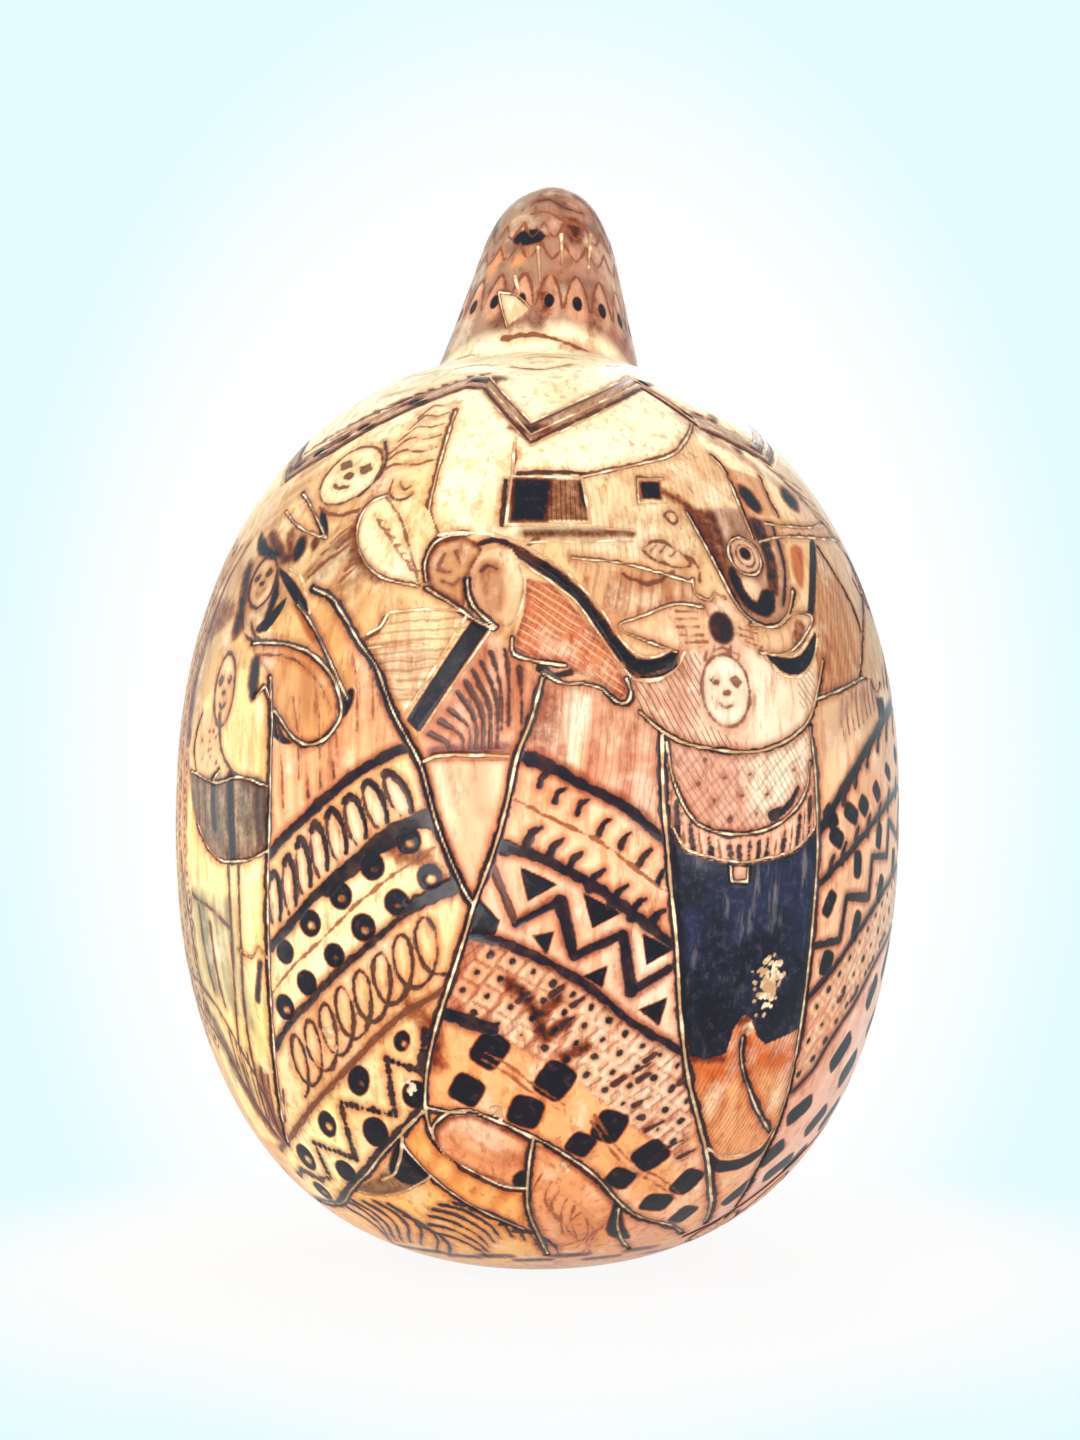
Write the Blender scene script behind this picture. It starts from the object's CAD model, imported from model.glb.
# %% [markdown]
# # A carved gourd
#
# The object is a whole dried bottle gourd. Its rind is stained, carved with a burin, shaded with
# fire and varnished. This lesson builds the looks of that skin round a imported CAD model. The
# picture on it is drawn the way a carver works: first broad stains, then scorched tones, then
# hatching, then dark burnt lines, and the cream lines of the burin last.

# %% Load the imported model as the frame
import math

import bpy
import numpy as np
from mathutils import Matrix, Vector


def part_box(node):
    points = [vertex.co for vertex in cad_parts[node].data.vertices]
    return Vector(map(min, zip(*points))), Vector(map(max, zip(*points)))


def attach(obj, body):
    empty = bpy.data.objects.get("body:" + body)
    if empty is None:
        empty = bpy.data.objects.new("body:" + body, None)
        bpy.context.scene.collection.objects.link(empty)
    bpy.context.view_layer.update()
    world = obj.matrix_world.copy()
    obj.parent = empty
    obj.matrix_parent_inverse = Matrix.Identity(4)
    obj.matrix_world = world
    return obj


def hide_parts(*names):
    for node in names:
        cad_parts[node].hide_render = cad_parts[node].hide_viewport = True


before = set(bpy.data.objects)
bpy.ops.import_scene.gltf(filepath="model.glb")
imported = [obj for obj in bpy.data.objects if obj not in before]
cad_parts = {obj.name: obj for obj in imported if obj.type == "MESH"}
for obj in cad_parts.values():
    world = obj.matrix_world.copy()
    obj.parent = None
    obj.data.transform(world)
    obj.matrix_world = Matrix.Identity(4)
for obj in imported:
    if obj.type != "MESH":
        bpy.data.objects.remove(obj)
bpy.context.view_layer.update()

# %% [markdown]
# ## The camera
#
# The photograph was taken close up, from a little above the table, with the camera tipped up a
# little. Its distance and aim were found by fitting the outline of the gourd. The sensor's long
# side lies along the picture's height, so the lens is given for that side.

# %% Camera
MM = 0.001
camera_place = Vector((0.3, -240, 45)) * MM
camera_aim = Vector((0.3, 0, 67.7)) * MM
camera_data = bpy.data.cameras.new("camera")
camera_data.sensor_fit = "VERTICAL"
camera_data.sensor_height = 36
camera_data.lens = 46.3
camera_data.clip_start = 0.01
camera = bpy.data.objects.new("camera", camera_data)
camera.location = camera_place
camera.rotation_euler = (camera_aim - camera_place).to_track_quat("-Z", "Y").to_euler()
bpy.context.collection.objects.link(camera)
bpy.context.scene.camera = camera
bpy.context.scene.view_settings.view_transform = "Standard"
print("camera:", round((camera_aim - camera_place).length, 3), "m from its aim")

# %% [markdown]
# ## Shader arithmetic
#
# A material here is arithmetic on values that change over the surface. Wiring Math nodes by hand
# hides that arithmetic, so a small class wraps a socket and turns + - * into Math nodes. Every
# other node comes from one method, which sets the node's options first and its inputs after.


# %% A socket that can be calculated with
class Wire:
    """A value that runs between nodes. Arithmetic on it adds the Math node that does it."""

    def __init__(self, tree, socket):
        self.tree = tree
        self.socket = socket

    def node(self, kind, settings=None, inputs=None, output=0):
        return add_node(self.tree, kind, settings, inputs, output)

    def math(self, operation, *values):
        settings = {"operation": operation}
        return self.node("ShaderNodeMath", settings, dict(enumerate(values)))

    def __add__(self, other):
        return self.math("ADD", self, other)

    def __sub__(self, other):
        return self.math("SUBTRACT", self, other)

    def __mul__(self, other):
        return self.math("MULTIPLY", self, other)

    def __rsub__(self, other):
        return self.math("SUBTRACT", other, self)

    __radd__ = __add__
    __rmul__ = __mul__

    def clamped(self):
        return self.node("ShaderNodeClamp", {}, {"Value": self})

    def fract(self):
        return self.math("FRACT", self)

    def absolute(self):
        return self.math("ABSOLUTE", self)

    def step(self, low, high):
        """0 below low, 1 above high, and a smooth rise between them."""
        settings = {"interpolation_type": "SMOOTHSTEP"}
        inputs = {"Value": self, "From Min": low, "From Max": high}
        return self.node("ShaderNodeMapRange", settings, inputs)


def add_node(tree, kind, settings=None, inputs=None, output=0):
    """Adds a node, sets its options, then its inputs, and returns one of its outputs."""
    made = tree.nodes.new(kind)
    for name, value in (settings or {}).items():
        if name == "stops":
            set_stops(made.color_ramp, value)
        else:
            setattr(made, name, value)
    for name, value in (inputs or {}).items():
        if isinstance(value, Wire):
            tree.links.new(value.socket, made.inputs[name])
        else:
            made.inputs[name].default_value = value
    return Wire(tree, made.outputs[output]) if made.outputs else None


def set_stops(ramp, stops):
    """Gives a colour ramp these (position, colour) stops."""
    while len(ramp.elements) < len(stops):
        ramp.elements.new(0.5)
    for element, (position, colour) in zip(ramp.elements, stops):
        element.position = position
        element.color = colour


def mix(factor, first, second):
    """first where the factor is 0 and second where it is 1, both colours."""
    wire = next(value for value in (factor, first, second) if isinstance(value, Wire))
    inputs = {0: factor, 6: first, 7: second}
    return wire.node("ShaderNodeMix", {"data_type": "RGBA"}, inputs, output=2)


def tinted(colour, amount, tint):
    """The colour multiplied by a tint, as far as amount goes."""
    settings = {"data_type": "RGBA", "blend_type": "MULTIPLY"}
    return amount.node("ShaderNodeMix", settings, {0: amount, 6: colour, 7: tint}, output=2)


def mix_shader(factor, first, second):
    """first where the factor is 0 and second where it is 1, both shaders."""
    return factor.node("ShaderNodeMixShader", {}, {0: factor, 1: first, 2: second})


def rgb(red, green, blue):
    """A colour as a screen shows it, 0 to 255, as the linear numbers that a shader takes."""
    shares = [channel / 255 for channel in (red, green, blue)]
    linear = [c / 12.92 if c < 0.04 else ((c + 0.055) / 1.055) ** 2.4 for c in shares]
    return (*linear, 1.0)


def new_material(name):
    """An empty node material, and the tree that its nodes go in."""
    material = bpy.data.materials.new(name)
    material.use_nodes = True
    material.node_tree.nodes.clear()
    return material, material.node_tree


def finish_material(tree, surface):
    """Sends a shader to the material's output."""
    add_node(tree, "ShaderNodeOutputMaterial", {}, {"Surface": surface})


# %% [markdown]
# ## The stage
#
# The gourd stands in a bright, even room, in a white glow that fades into a pale blue backdrop.
# A pale floor and a pale world give the light. What is seen of them, straight or in a gloss, gets
# its colour by the Light Path node, which leaves the light on the object as it is.

# %% World
near_white = rgb(255, 255, 255)
pale_sky = rgb(227, 252, 254)
seen_rays = ("Is Camera Ray", "Is Glossy Ray", "Is Transmission Ray")
# The glow's middle and half sizes, as directions, and the shares of them where it starts to fade
# and is gone
glow_height = 0.23
glow_wide = 0.235
glow_tall = 0.325
glow_fades = (0.86, 1.28)


def looked_at(tree):
    """1 for a ray from the camera, also by way of a gloss or glass, and 0 for light itself."""
    rays = [add_node(tree, "ShaderNodeLightPath", {}, {}, kind) for kind in seen_rays]
    return (rays[0] + rays[1] + rays[2]).clamped()


def length_of(vector):
    """A vector's length."""
    return vector.node("ShaderNodeVectorMath", {"operation": "LENGTH"}, {0: vector}, "Value")


def pale_world():
    """An even room light, behind which a white glow fades into pale blue."""
    world = bpy.data.worlds.new("studio")
    bpy.context.scene.world = world
    world.use_nodes = True
    tree = world.node_tree
    tree.nodes.clear()
    room = {"Color": (1, 0.99, 0.97, 1), "Strength": 0.62}
    room_light = add_node(tree, "ShaderNodeBackground", {}, room)
    direction = add_node(tree, "ShaderNodeTexCoord", {}, {}, "Generated")
    glow = {"Location": (0, 0, -glow_height), "Scale": (1 / glow_wide, 0, 1 / glow_tall)}
    from_glow = add_node(tree, "ShaderNodeMapping", {}, {"Vector": direction, **glow})
    colour = mix(length_of(from_glow).step(*glow_fades), near_white, pale_sky)
    shown = add_node(tree, "ShaderNodeBackground", {}, {"Color": colour, "Strength": 1.0})
    surface = mix_shader(looked_at(tree), room_light, shown)
    add_node(tree, "ShaderNodeOutputWorld", {}, {"Surface": surface})


# %% Floor and lamps
floor_reach = 6.0
floor_gap = 0.0002
# How much of the floor's shade is lifted to white, and where it fades into the backdrop, in metres
floor_glow = 0.92
floor_fades = (0.05, 0.10)


def pale_floor():
    """A pale floor that looks white by the gourd, and that fades into the backdrop."""
    corners = [
        (x * floor_reach, y * floor_reach, 0) for x, y in ((-1, -1), (1, -1), (1, 1), (-1, 1))
    ]
    mesh = bpy.data.meshes.new("floor")
    mesh.from_pydata(corners, [], [(0, 1, 2, 3)])
    floor = bpy.data.objects.new("floor", mesh)
    floor.location.z = -floor_gap
    bpy.context.collection.objects.link(floor)
    material, tree = new_material("floor")
    matte = add_node(tree, "ShaderNodeBsdfDiffuse", {}, {"Color": rgb(236, 236, 234)})
    glow = add_node(tree, "ShaderNodeEmission", {}, {"Color": near_white, "Strength": 1.0})
    clear_air = add_node(tree, "ShaderNodeBsdfTransparent")
    place = add_node(tree, "ShaderNodeTexCoord", {}, {}, "Object")
    shown = add_node(tree, "ShaderNodeMixShader", {}, {0: floor_glow, 1: matte, 2: glow})
    shown = mix_shader(length_of(place).step(*floor_fades), shown, clear_air)
    finish_material(tree, mix_shader(looked_at(tree), matte, shown))
    mesh.materials.append(material)


def lamp(name, place, size, power, colour=(1, 1, 1)):
    """A square area lamp, aimed at the middle of the gourd. place and size are in metres."""
    data = bpy.data.lights.new(name, "AREA")
    data.size = size
    data.energy = power
    data.color = colour
    made = bpy.data.objects.new(name, data)
    made.location = place
    made.rotation_euler = (Vector((0, 0, 0.07)) - Vector(place)).to_track_quat("-Z", "Y").to_euler()
    bpy.context.collection.objects.link(made)


pale_world()
pale_floor()
lamp("key", (-0.45, -0.60, 0.50), 0.40, 2.1)
lamp("fill", (0.60, -0.50, 0.16), 0.40, 2.3)
lamp("low front", (-0.24, -0.58, 0.03), 0.30, 3.3)
lamp("low side", (-0.60, 0.12, 0.05), 0.40, 1.1)
lamp("back", (0.10, 0.60, 0.60), 0.40, 1.6)


# %% [markdown]
# ## The outline of the skin
#
# A gourd's outline is round but not an ellipse: its sides are fuller. A superellipse says that
# with one more number, the fullness. The lower and upper halves have their own. The neck is a
# cone with a rounded tip, welded to the dome by a small fillet, and it leans. All of this follows
# the same sizes as the CAD rind, in millimetres, and the belly's width is read from that rind.

# %% Sizes of the outline
rind_low, rind_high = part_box("rind")
belly_r = (rind_high[0] - rind_low[0]) / 2 / MM
belly_h = 58.5
shoulder_rise = 56.0
lower_fullness = 2.4
upper_fullness = 2.15
foot_r = 11.0
scar_r = 2.5
scar_depth = 0.8
neck_rise = 25.0
neck_tip_r = 6.5
neck_slope = math.tan(math.radians(14.7))
neck_round = 10.2
neck_fullness = 2.7
neck_sink = 6.0
weld = 2.6
stem_r = 2.65
lean_right = 4.4
lean_back = 4.0
dome_top = belly_h + shoulder_rise
neck_top = dome_top + neck_rise
neck_root = dome_top - neck_sink
lower_depth = belly_h / (1 - (foot_r / belly_r) ** lower_fullness) ** (1 / lower_fullness)


def superellipse(share, fullness):
    """The height of a rounded curve over its share of the width, both 0 to 1."""
    return np.clip(1 - np.clip(share, 0, 1) ** fullness, 0, 1) ** (1 / fullness)


def skin_radius(height):
    """The skin's distance from the axis at each height above the foot, in mm."""
    below = superellipse((belly_h - height) / lower_depth, lower_fullness)
    above = superellipse((height - belly_h) / shoulder_rise, upper_fullness)
    body = belly_r * np.where(height < belly_h, below, above)
    from_tip = neck_top - height
    cone = neck_tip_r + neck_slope * from_tip
    neck = cone * superellipse(1 - np.clip(from_tip / neck_round, 0, 1), neck_fullness)
    neck = np.where(height > neck_root, neck, 0)
    near_weld = np.clip(weld - np.abs(body - neck), 0, None) / weld
    return np.maximum(body, neck) + near_weld**2 * weld / 4


quarter = np.linspace(0, math.pi / 2, 1500)
lower_heights = belly_h * (1 - np.cos(quarter))
upper_heights = belly_h + (shoulder_rise - 4) * np.sin(quarter)
neck_heights = neck_top - (neck_top - upper_heights[-1]) * (1 - np.sin(quarter))
path_z = np.unique(np.concatenate([lower_heights, upper_heights, neck_heights]))
path_r = skin_radius(path_z)
path_tape = np.concatenate([[0], np.cumsum(np.hypot(np.diff(path_z), np.diff(path_r)))])
print("tape from the foot's edge to the tip:", round(path_tape[-1], 1), "mm")

# %% [markdown]
# ## The skin as unrolled cloth
#
# The picture is drawn on the skin as if it were unrolled: across, the azimuth in degrees, 0 at
# the front and positive to the right; up, the tape height, which is the length of a tape measure
# laid up the skin from the foot's edge, in millimetres. The mesh is one fine grid in those two
# directions, so each point of it can hold the stain, the burn and the nearness of each line. The
# front has smaller cells, because the photograph shows it close up.

# %% The grid
cell = 0.23
front_reach = 100
belly_mm_per_degree = belly_r * math.pi / 180
front_step = cell / belly_mm_per_degree
front_count = int(2 * front_reach / front_step)
back_count = int((360 - 2 * front_reach) / (1.6 * front_step))
front_columns = np.linspace(-front_reach, front_reach, front_count, endpoint=False)
back_columns = np.linspace(front_reach, 360 - front_reach, back_count, endpoint=False)
azimuth = np.concatenate([front_columns, back_columns])

tip_tape = path_tape[-1] - stem_r
tape = np.arange(0, tip_tape, cell)
row_r = np.interp(tape, path_tape, path_r)
row_z = np.interp(tape, path_tape, path_z)
mm_per_degree = row_r * math.pi / 180
print("grid:", len(tape), "rows and", len(azimuth), "columns")


def wrapped(degrees):
    """The same direction as an angle from -180 to 180."""
    return (degrees + 180) % 360 - 180


# %% [markdown]
# ## Layers
#
# A layer holds one number for every point of the grid. Lines are kept as distances: a point says
# how far it is from the edge of the nearest line, and the shader draws the edge where that
# distance is zero. A distance changes evenly from point to point, so the edge stays crisp even
# where it runs between points.

# %% New layers
FAR = 1.5


def layer(value):
    return np.full((len(tape), len(azimuth)), value, np.float32)


cut = layer(FAR)
ink = layer(FAR)
ink_black = layer(1)
burn = layer(0)
navy = layer(0)
hatch_phase = layer(0)
hatch_force = layer(0)
cross_phase = layer(0)
cross_force = layer(0)
stain = np.zeros((len(tape), len(azimuth), 3), np.float32)
hand = np.random.default_rng(11)
print("each layer holds", cut.size, "numbers")

# %% [markdown]
# ## Drawing tools
#
# A carver's hand draws curves through a few places, so a line is given by a few points and a
# Catmull-Rom curve joins them. The whole picture can be drawn again further round the gourd,
# mirrored or not, because every point goes through the same placing first.

# %% Places, curves and windows of the grid
placing = {"turn": 0.0, "side": 1}


def scale_at(height):
    """How many mm across one degree is, at a tape height."""
    return np.interp(height, tape, mm_per_degree)


def eased(share):
    """The same share from 0 to 1, with a soft start and end."""
    return share * share * (3 - 2 * share)


def tone(colour):
    """A colour's red, green and blue for a layer."""
    return np.array(colour[:3])


def placed(points):
    """Points of the picture, brought to where this copy of it is being drawn."""
    there = np.array(points, float)
    there[:, 0] = placing["turn"] + placing["side"] * there[:, 0]
    return there


def curve(points, closed=False, spacing=0.9):
    """A smooth line through the points, with a point about every spacing mm."""
    given = [np.array(p, float) for p in points]
    if closed:
        given = [given[-1], *given, given[0], given[1]]
    else:
        given = [2 * given[0] - given[1], *given, 2 * given[-1] - given[-2]]
    line = []
    for before, start, end, after in zip(given, given[1:], given[2:], given[3:]):
        across = scale_at(start[1])
        length = math.hypot((end[0] - start[0]) * across, end[1] - start[1])
        for t in np.linspace(0, 1, max(2, int(length / spacing) + 1), endpoint=False):
            pull = (2 * before - 5 * start + 4 * end - after) * t * t
            push = (3 * start - before - 3 * end + after) * t * t * t
            line.append((2 * start + (end - before) * t + pull + push) / 2)
    if not closed:
        line.append(given[-2])
    return np.array(line)


def window(points, reach):
    """The part of the grid within reach mm of the points: rows, columns, and places in mm."""
    lowest, highest = points[:, 1].min() - reach, points[:, 1].max() + reach
    rows = np.nonzero((tape >= lowest) & (tape <= highest))[0]
    if not len(rows):
        return None
    middle = (points[:, 0].min() + points[:, 0].max()) / 2
    half = (points[:, 0].max() - points[:, 0].min()) / 2 + reach / mm_per_degree[rows].min()
    turned = wrapped(azimuth - middle)
    columns = np.nonzero(np.abs(turned) <= half)[0]
    if not len(columns):
        return None
    across = mm_per_degree[rows][:, None]
    part = np.ix_(rows, columns)
    return part, turned[columns][None] * across, tape[rows][:, None], middle, across


# %% Lines
# The fray and the halo of the material widen a line, so it is drawn a little thinner here
thinnest_cut = 0.26
cut_share = 0.78
contour_share = 0.84
contour_cut_share = 0.72


def along(path, reach):
    """For each short piece of a path: the grid near it, its distance, and the share of the path."""
    for i in range(len(path) - 1):
        ends = path[i : i + 2]
        found = window(ends, reach)
        if not found:
            continue
        part, x, y, middle, across = found
        run = (ends[1, 0] - ends[0, 0]) * across
        rise = ends[1, 1] - ends[0, 1]
        from_x = x - (ends[0, 0] - middle) * across
        from_y = y - ends[0, 1]
        t = np.clip((from_x * run + from_y * rise) / (run**2 + rise**2 + 1e-9), 0, 1)
        yield part, np.hypot(from_x - t * run, from_y - t * rise), (i + t) / (len(path) - 1)


def stroke(target, points, width, taper=1.0, black=None, shake=0.05):
    """Draws a line of that width in mm. taper is the width at the far end, as a share."""
    path = placed(points)
    path[:, 1] += hand.normal(0, shake, len(path))
    swell = 1 + hand.normal(0, 0.09, len(path))
    for part, distance, share in along(path, width / 2 + 1.3):
        half = width / 2 * (1 + (taper - 1) * share)
        half = half * np.interp(share * (len(path) - 1), range(len(path)), swell)
        distance = distance - half
        if black is not None:
            nearer = (distance < target[part]) & (distance < 0.6)
            ink_black[part] = np.where(nearer, black, ink_black[part])
        target[part] = np.minimum(target[part], distance)


def burnt_line(points, width=0.5, black=1.0, taper=1.0, smooth=True):
    """A dark line drawn with a hot point."""
    stroke(ink, curve(points) if smooth else points, width, taper, black)


def burin_line(points, width=0.3, taper=1.0, smooth=True):
    """A cream line cut with the burin."""
    stroke(cut, curve(points) if smooth else points, max(thinnest_cut, cut_share * width), taper)


def contour(points, width=0.8, inner=0.3, black=0.9, smooth=True):
    """A figure's outline: a scorched line with a burin line along its middle."""
    line = curve(points) if smooth else points
    stroke(ink, line, contour_share * width, 1.0, black, 0.03)
    stroke(cut, line, max(thinnest_cut, contour_cut_share * inner), shake=0.03)


def smudge(points, width=1.6, amount=0.5):
    """A soft burn along a line, as a flame leaves it."""
    for part, distance, _ in along(placed(curve(points, spacing=1.6)), width):
        glow = np.clip(1 - distance / width, 0, 1)
        burn[part] = np.maximum(burn[part], amount * glow * glow * (3 - 2 * glow))


def beads(points, size=0.85, black=0.95):
    """A line dotted with a hot point."""
    path = curve(points, spacing=0.95) if len(points) == 2 else np.array(points, float)
    for start, end in zip(path, path[1:]):
        across = scale_at(start[1])
        count = max(
            1, round(math.hypot((end[0] - start[0]) * across, end[1] - start[1]) / (0.82 * size)),
        )
        for t in np.arange(count) / count:
            spot = start + (end - start) * t
            stroke(ink, [spot, spot + [0.1, 0.15]], size * hand.uniform(0.75, 1.1), 1.0, black)


# %% Areas
def area(points, smooth=False, reach=1.5):
    """The window round a closed shape, with each point's distance to its edge, negative inside."""
    edge = placed(curve(points, closed=True, spacing=1.6) if smooth else points)
    found = window(edge, reach)
    if not found:
        return None
    part, x, y, middle, across = found
    distance = np.full(x.shape, 1e9)
    inside = np.zeros(x.shape, bool)
    for start, end in zip(edge, np.roll(edge, -1, axis=0)):
        start_x = (start[0] - middle) * across
        run = (end[0] - start[0]) * across
        rise = end[1] - start[1]
        t = np.clip(((x - start_x) * run + (y - start[1]) * rise) / (run**2 + rise**2 + 1e-9), 0, 1)
        distance = np.minimum(distance, np.hypot(x - start_x - t * run, y - start[1] - t * rise))
        crosses = (start[1] > y) != (end[1] > y)
        inside ^= crosses & (x < start_x + (y - start[1]) / (rise + 1e-12) * run)
    return {"part": part, "x": x, "y": y, "distance": np.where(inside, -distance, distance)}


def cover(shape, soft):
    """1 inside a shape and 0 outside, with an edge soft mm wide."""
    return eased(np.clip(0.5 - shape["distance"] / soft, 0, 1))


def dye(shape, colour, soft=0.5, force=1.0):
    """Stains a shape with a colour."""
    share = (cover(shape, soft) * force)[..., None]
    stain[shape["part"]] += (tone(colour) - stain[shape["part"]]) * share


def dyed(points, colour, soft=0.5, force=1.0, smooth=False, over=False):
    """A new shape in a colour. over wipes what was there, so that the shape stands in front."""
    shape = area(points, smooth=smooth)
    if over:
        clear(shape)
    dye(shape, colour, soft, force)
    return shape


def scorch(shape, amount, soft=0.4):
    """Burns a shape: 0.3 is brown and 1 is black."""
    burn[shape["part"]] = np.maximum(burn[shape["part"]], amount * cover(shape, soft))


def burnt_spot(points, amount, soft=0.6, smooth=False):
    """Burns what the points enclose."""
    scorch(area(points, smooth=smooth), amount, soft)


def scorch_rim(shape, amount=0.4, width=1.4):
    """Burns a shape along the inside of its edge, and less towards its middle."""
    depth = np.clip(1 + shape["distance"] / width, 0, 1) ** 2
    burn[shape["part"]] = np.maximum(burn[shape["part"]], amount * depth * cover(shape, 0.4))


def clear(shape):
    """Wipes what was drawn inside a shape, so that it can stand in front."""
    gone = shape["distance"] < 0
    for target, value in ((cut, FAR), (ink, FAR), (burn, 0), (hatch_force, 0), (cross_force, 0)):
        target[shape["part"]] = np.where(gone, value, target[shape["part"]])


def hatch(shape, angle, pitch=0.8, force=0.35, crossed=False, fan=None):
    """Fills a shape with fine lines: dark ones if force is positive, cream ones if negative.
    angle is their direction in degrees. fan is a point that curved lines spread from instead."""
    phase, strength = (cross_phase, cross_force) if crossed else (hatch_phase, hatch_force)
    middle = shape["x"].mean()
    x, y = (shape["x"] - middle) * placing["side"], shape["y"] + 0 * shape["x"]
    if fan:
        x, y = x - fan[0], y - fan[1]
        rings = np.degrees(np.arctan2(x, -y)) / pitch + np.hypot(x, y) * fan[2]
    else:
        tilt = math.radians(angle)
        rings = (y * math.cos(tilt) - x * math.sin(tilt)) / pitch
    gone = shape["distance"] < 0.15
    part = shape["part"]
    phase[part] = np.where(gone, rings, phase[part])
    strength[part] = np.where(gone, force, strength[part])


def disc(place, width, height=None, turn=0.0, count=20):
    """The outline of a round or oval spot. Its sizes are in mm."""
    across = scale_at(place[1])
    height = height or width
    spot = []
    for t in np.linspace(0, 2 * math.pi, count, endpoint=False):
        x, y = width / 2 * math.cos(t), height / 2 * math.sin(t)
        tilt = math.radians(turn)
        right, up = x * math.cos(tilt) - y * math.sin(tilt), x * math.sin(tilt) + y * math.cos(tilt)
        spot.append((place[0] + right / across, place[1] + up))
    return spot


def ring(place, width, height=None, turn=0.0):
    """The same spot as a closed line."""
    spot = disc(place, width, height, turn)
    return [*spot, spot[0]]


# %% Brushes
def brush(points, colour, width=1.4, force=1.0):
    """A soft stroke of stain."""
    for part, distance, share in along(placed(curve(points, spacing=1.4)), width / 2 + 0.6):
        wet = np.clip(width / 2 + 0.5 - distance, 0, 1) * force * (1 - 0.5 * share)
        stain[part] += (tone(colour) - stain[part]) * (wet * 0.7)[..., None]


def streaks(start, end, reach, count, colours, width=1.6, force=0.9):
    """A row of loose brush strokes side by side. reach is how far each goes, in degrees and mm."""
    for i in range(count):
        share = (i + hand.uniform(0.1, 0.9)) / count
        low = np.array(start) + (np.array(end) - np.array(start)) * share
        tip = low + np.array(reach) * hand.uniform(0.6, 1.0)
        middle = (low + tip) / 2 + [hand.normal(0, 0.5), hand.normal(0, 0.3)]
        brush([low, middle, tip], colours[i % len(colours)], width * hand.uniform(0.6, 1.3), force)


# %% [markdown]
# ## The ground stain
#
# Before any carving the rind has its own colours: pale cream round the shoulder, where the sun
# bleached it, yellow on the left, pink on the right and orange towards the foot.

# %% Ground stain
cream = rgb(252, 238, 196)
straw = rgb(240, 206, 148)
honey = rgb(232, 172, 96)
peach = rgb(232, 176, 136)
orange = rgb(246, 170, 96)
ivory = rgb(250, 238, 208)


def ramp(values, low, high):
    """0 below low and 1 above high, ready to mix colours with."""
    return eased(np.clip((values - low) / (high - low), 0, 1))[..., None]


def ground():
    """Lays the stains over the whole grid."""
    rightness = ramp(np.sin(np.radians(azimuth))[None] + 0 * tape[:, None], -0.75, 0.6)
    colours = tone(honey) * (1 - rightness) + tone(peach) * rightness
    heights = tape[:, None] + 3 * np.sin(np.radians(azimuth * 3))[None]
    colours += (tone(straw) - colours) * ramp(heights, 66, 104) * 0.75
    colours += (tone(cream) - colours) * ramp(heights, 104, 122)
    colours += (tone(orange) - colours) * (1 - ramp(heights, 14, 38)) * 0.8
    stain[:] = colours


ground()
print("ground stain at the foot:", [round(float(value), 3) for value in stain[0, 0]])

# %% [markdown]
# ## Woven bands
#
# Across the skirts run bands copied from weaving: combs, loops, spirals, zigzags, dots and checks
# between dark lines. A band is a strip between a lower and an upper line, and its motifs are
# placed by shares along and across it, so they follow the band wherever it bends.


# %% A strip and its motifs
class Strip:
    """A band between two lines. along and across run from 0 to 1."""

    def __init__(self, lower, upper):
        self.lower = self.even(lower)
        self.upper = self.even(upper)

    @staticmethod
    def even(points):
        """Sixty points along the line, equally far apart."""
        line = curve(points)
        wide = scale_at(line[:, 1])[:-1]
        steps = np.diff(line, axis=0)
        length = np.concatenate([[0], np.cumsum(np.hypot(steps[:, 0] * wide, steps[:, 1]))])
        shares = np.linspace(0, length[-1], 60)
        return np.stack([np.interp(shares, length, line[:, k]) for k in (0, 1)], 1)

    def at(self, along, across):
        """The place at these shares of the band."""
        spot = min(max(along, 0), 1) * 59
        low = [np.interp(spot, range(60), self.lower[:, k]) for k in (0, 1)]
        high = [np.interp(spot, range(60), self.upper[:, k]) for k in (0, 1)]
        return tuple(a + (b - a) * across for a, b in zip(low, high))

    def line(self, across, start=0.0, end=1.0):
        """A line along the band at one height."""
        return [self.at(share, across) for share in np.linspace(start, end, 12)]


def shifted(place, right, up):
    """A place moved by mm to the right and up."""
    return (place[0] + right / scale_at(place[1]), place[1] + up)


def comb(places, right=0.6, up=1.1, width=1.0, taper=0.7, black=0.95):
    """A row of slanting teeth, each through one of the places, with pale skin between them."""
    for place in places:
        dyed(disc(shifted(place, 1.5, -0.2), 1.9, 2.6, -30), rgb(252, 206, 164), 1.2, 0.7)
        tooth = [
            shifted(place, -right, -up), shifted(place, -0.3 * right, 0.3 * up),
            shifted(place, right, up),
        ]
        burnt_line(tooth, width, black, taper)


def arches(strip, count, black=0.95):
    """A row of arches, like the edge of a braid, with a thick right leg."""
    for i in range(count):
        middle, wide = (i + 0.45) / count, hand.uniform(0.36, 0.42) / count
        places = []
        for turn in range(235, -76, -24):
            angle = math.radians(turn)
            places.append(strip.at(middle + wide * math.cos(angle), 0.45 + 0.36 * math.sin(angle)))
        dyed(places, rgb(255, 226, 182), 0.5, 0.95)
        burnt_line(places[:6], 0.45, black * 0.8, 0.8)
        burnt_line(places[5:], 0.95, black, 0.7)


def curls(strip, count, black=0.8, width=0.46):
    """One running line of wide loops that overlap and lean to the left."""
    line = []
    for t in np.linspace(0, count, count * 16):
        angle = 2 * math.pi * t
        across = 0.5 - 0.34 * math.cos(angle)
        ahead = t + 0.62 * math.sin(angle) - 1.5 * (across - 0.5) + 0.4
        line.append(strip.at(ahead / (count + 0.8), across))
    burnt_line(line, width, black, smooth=False)


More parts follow.
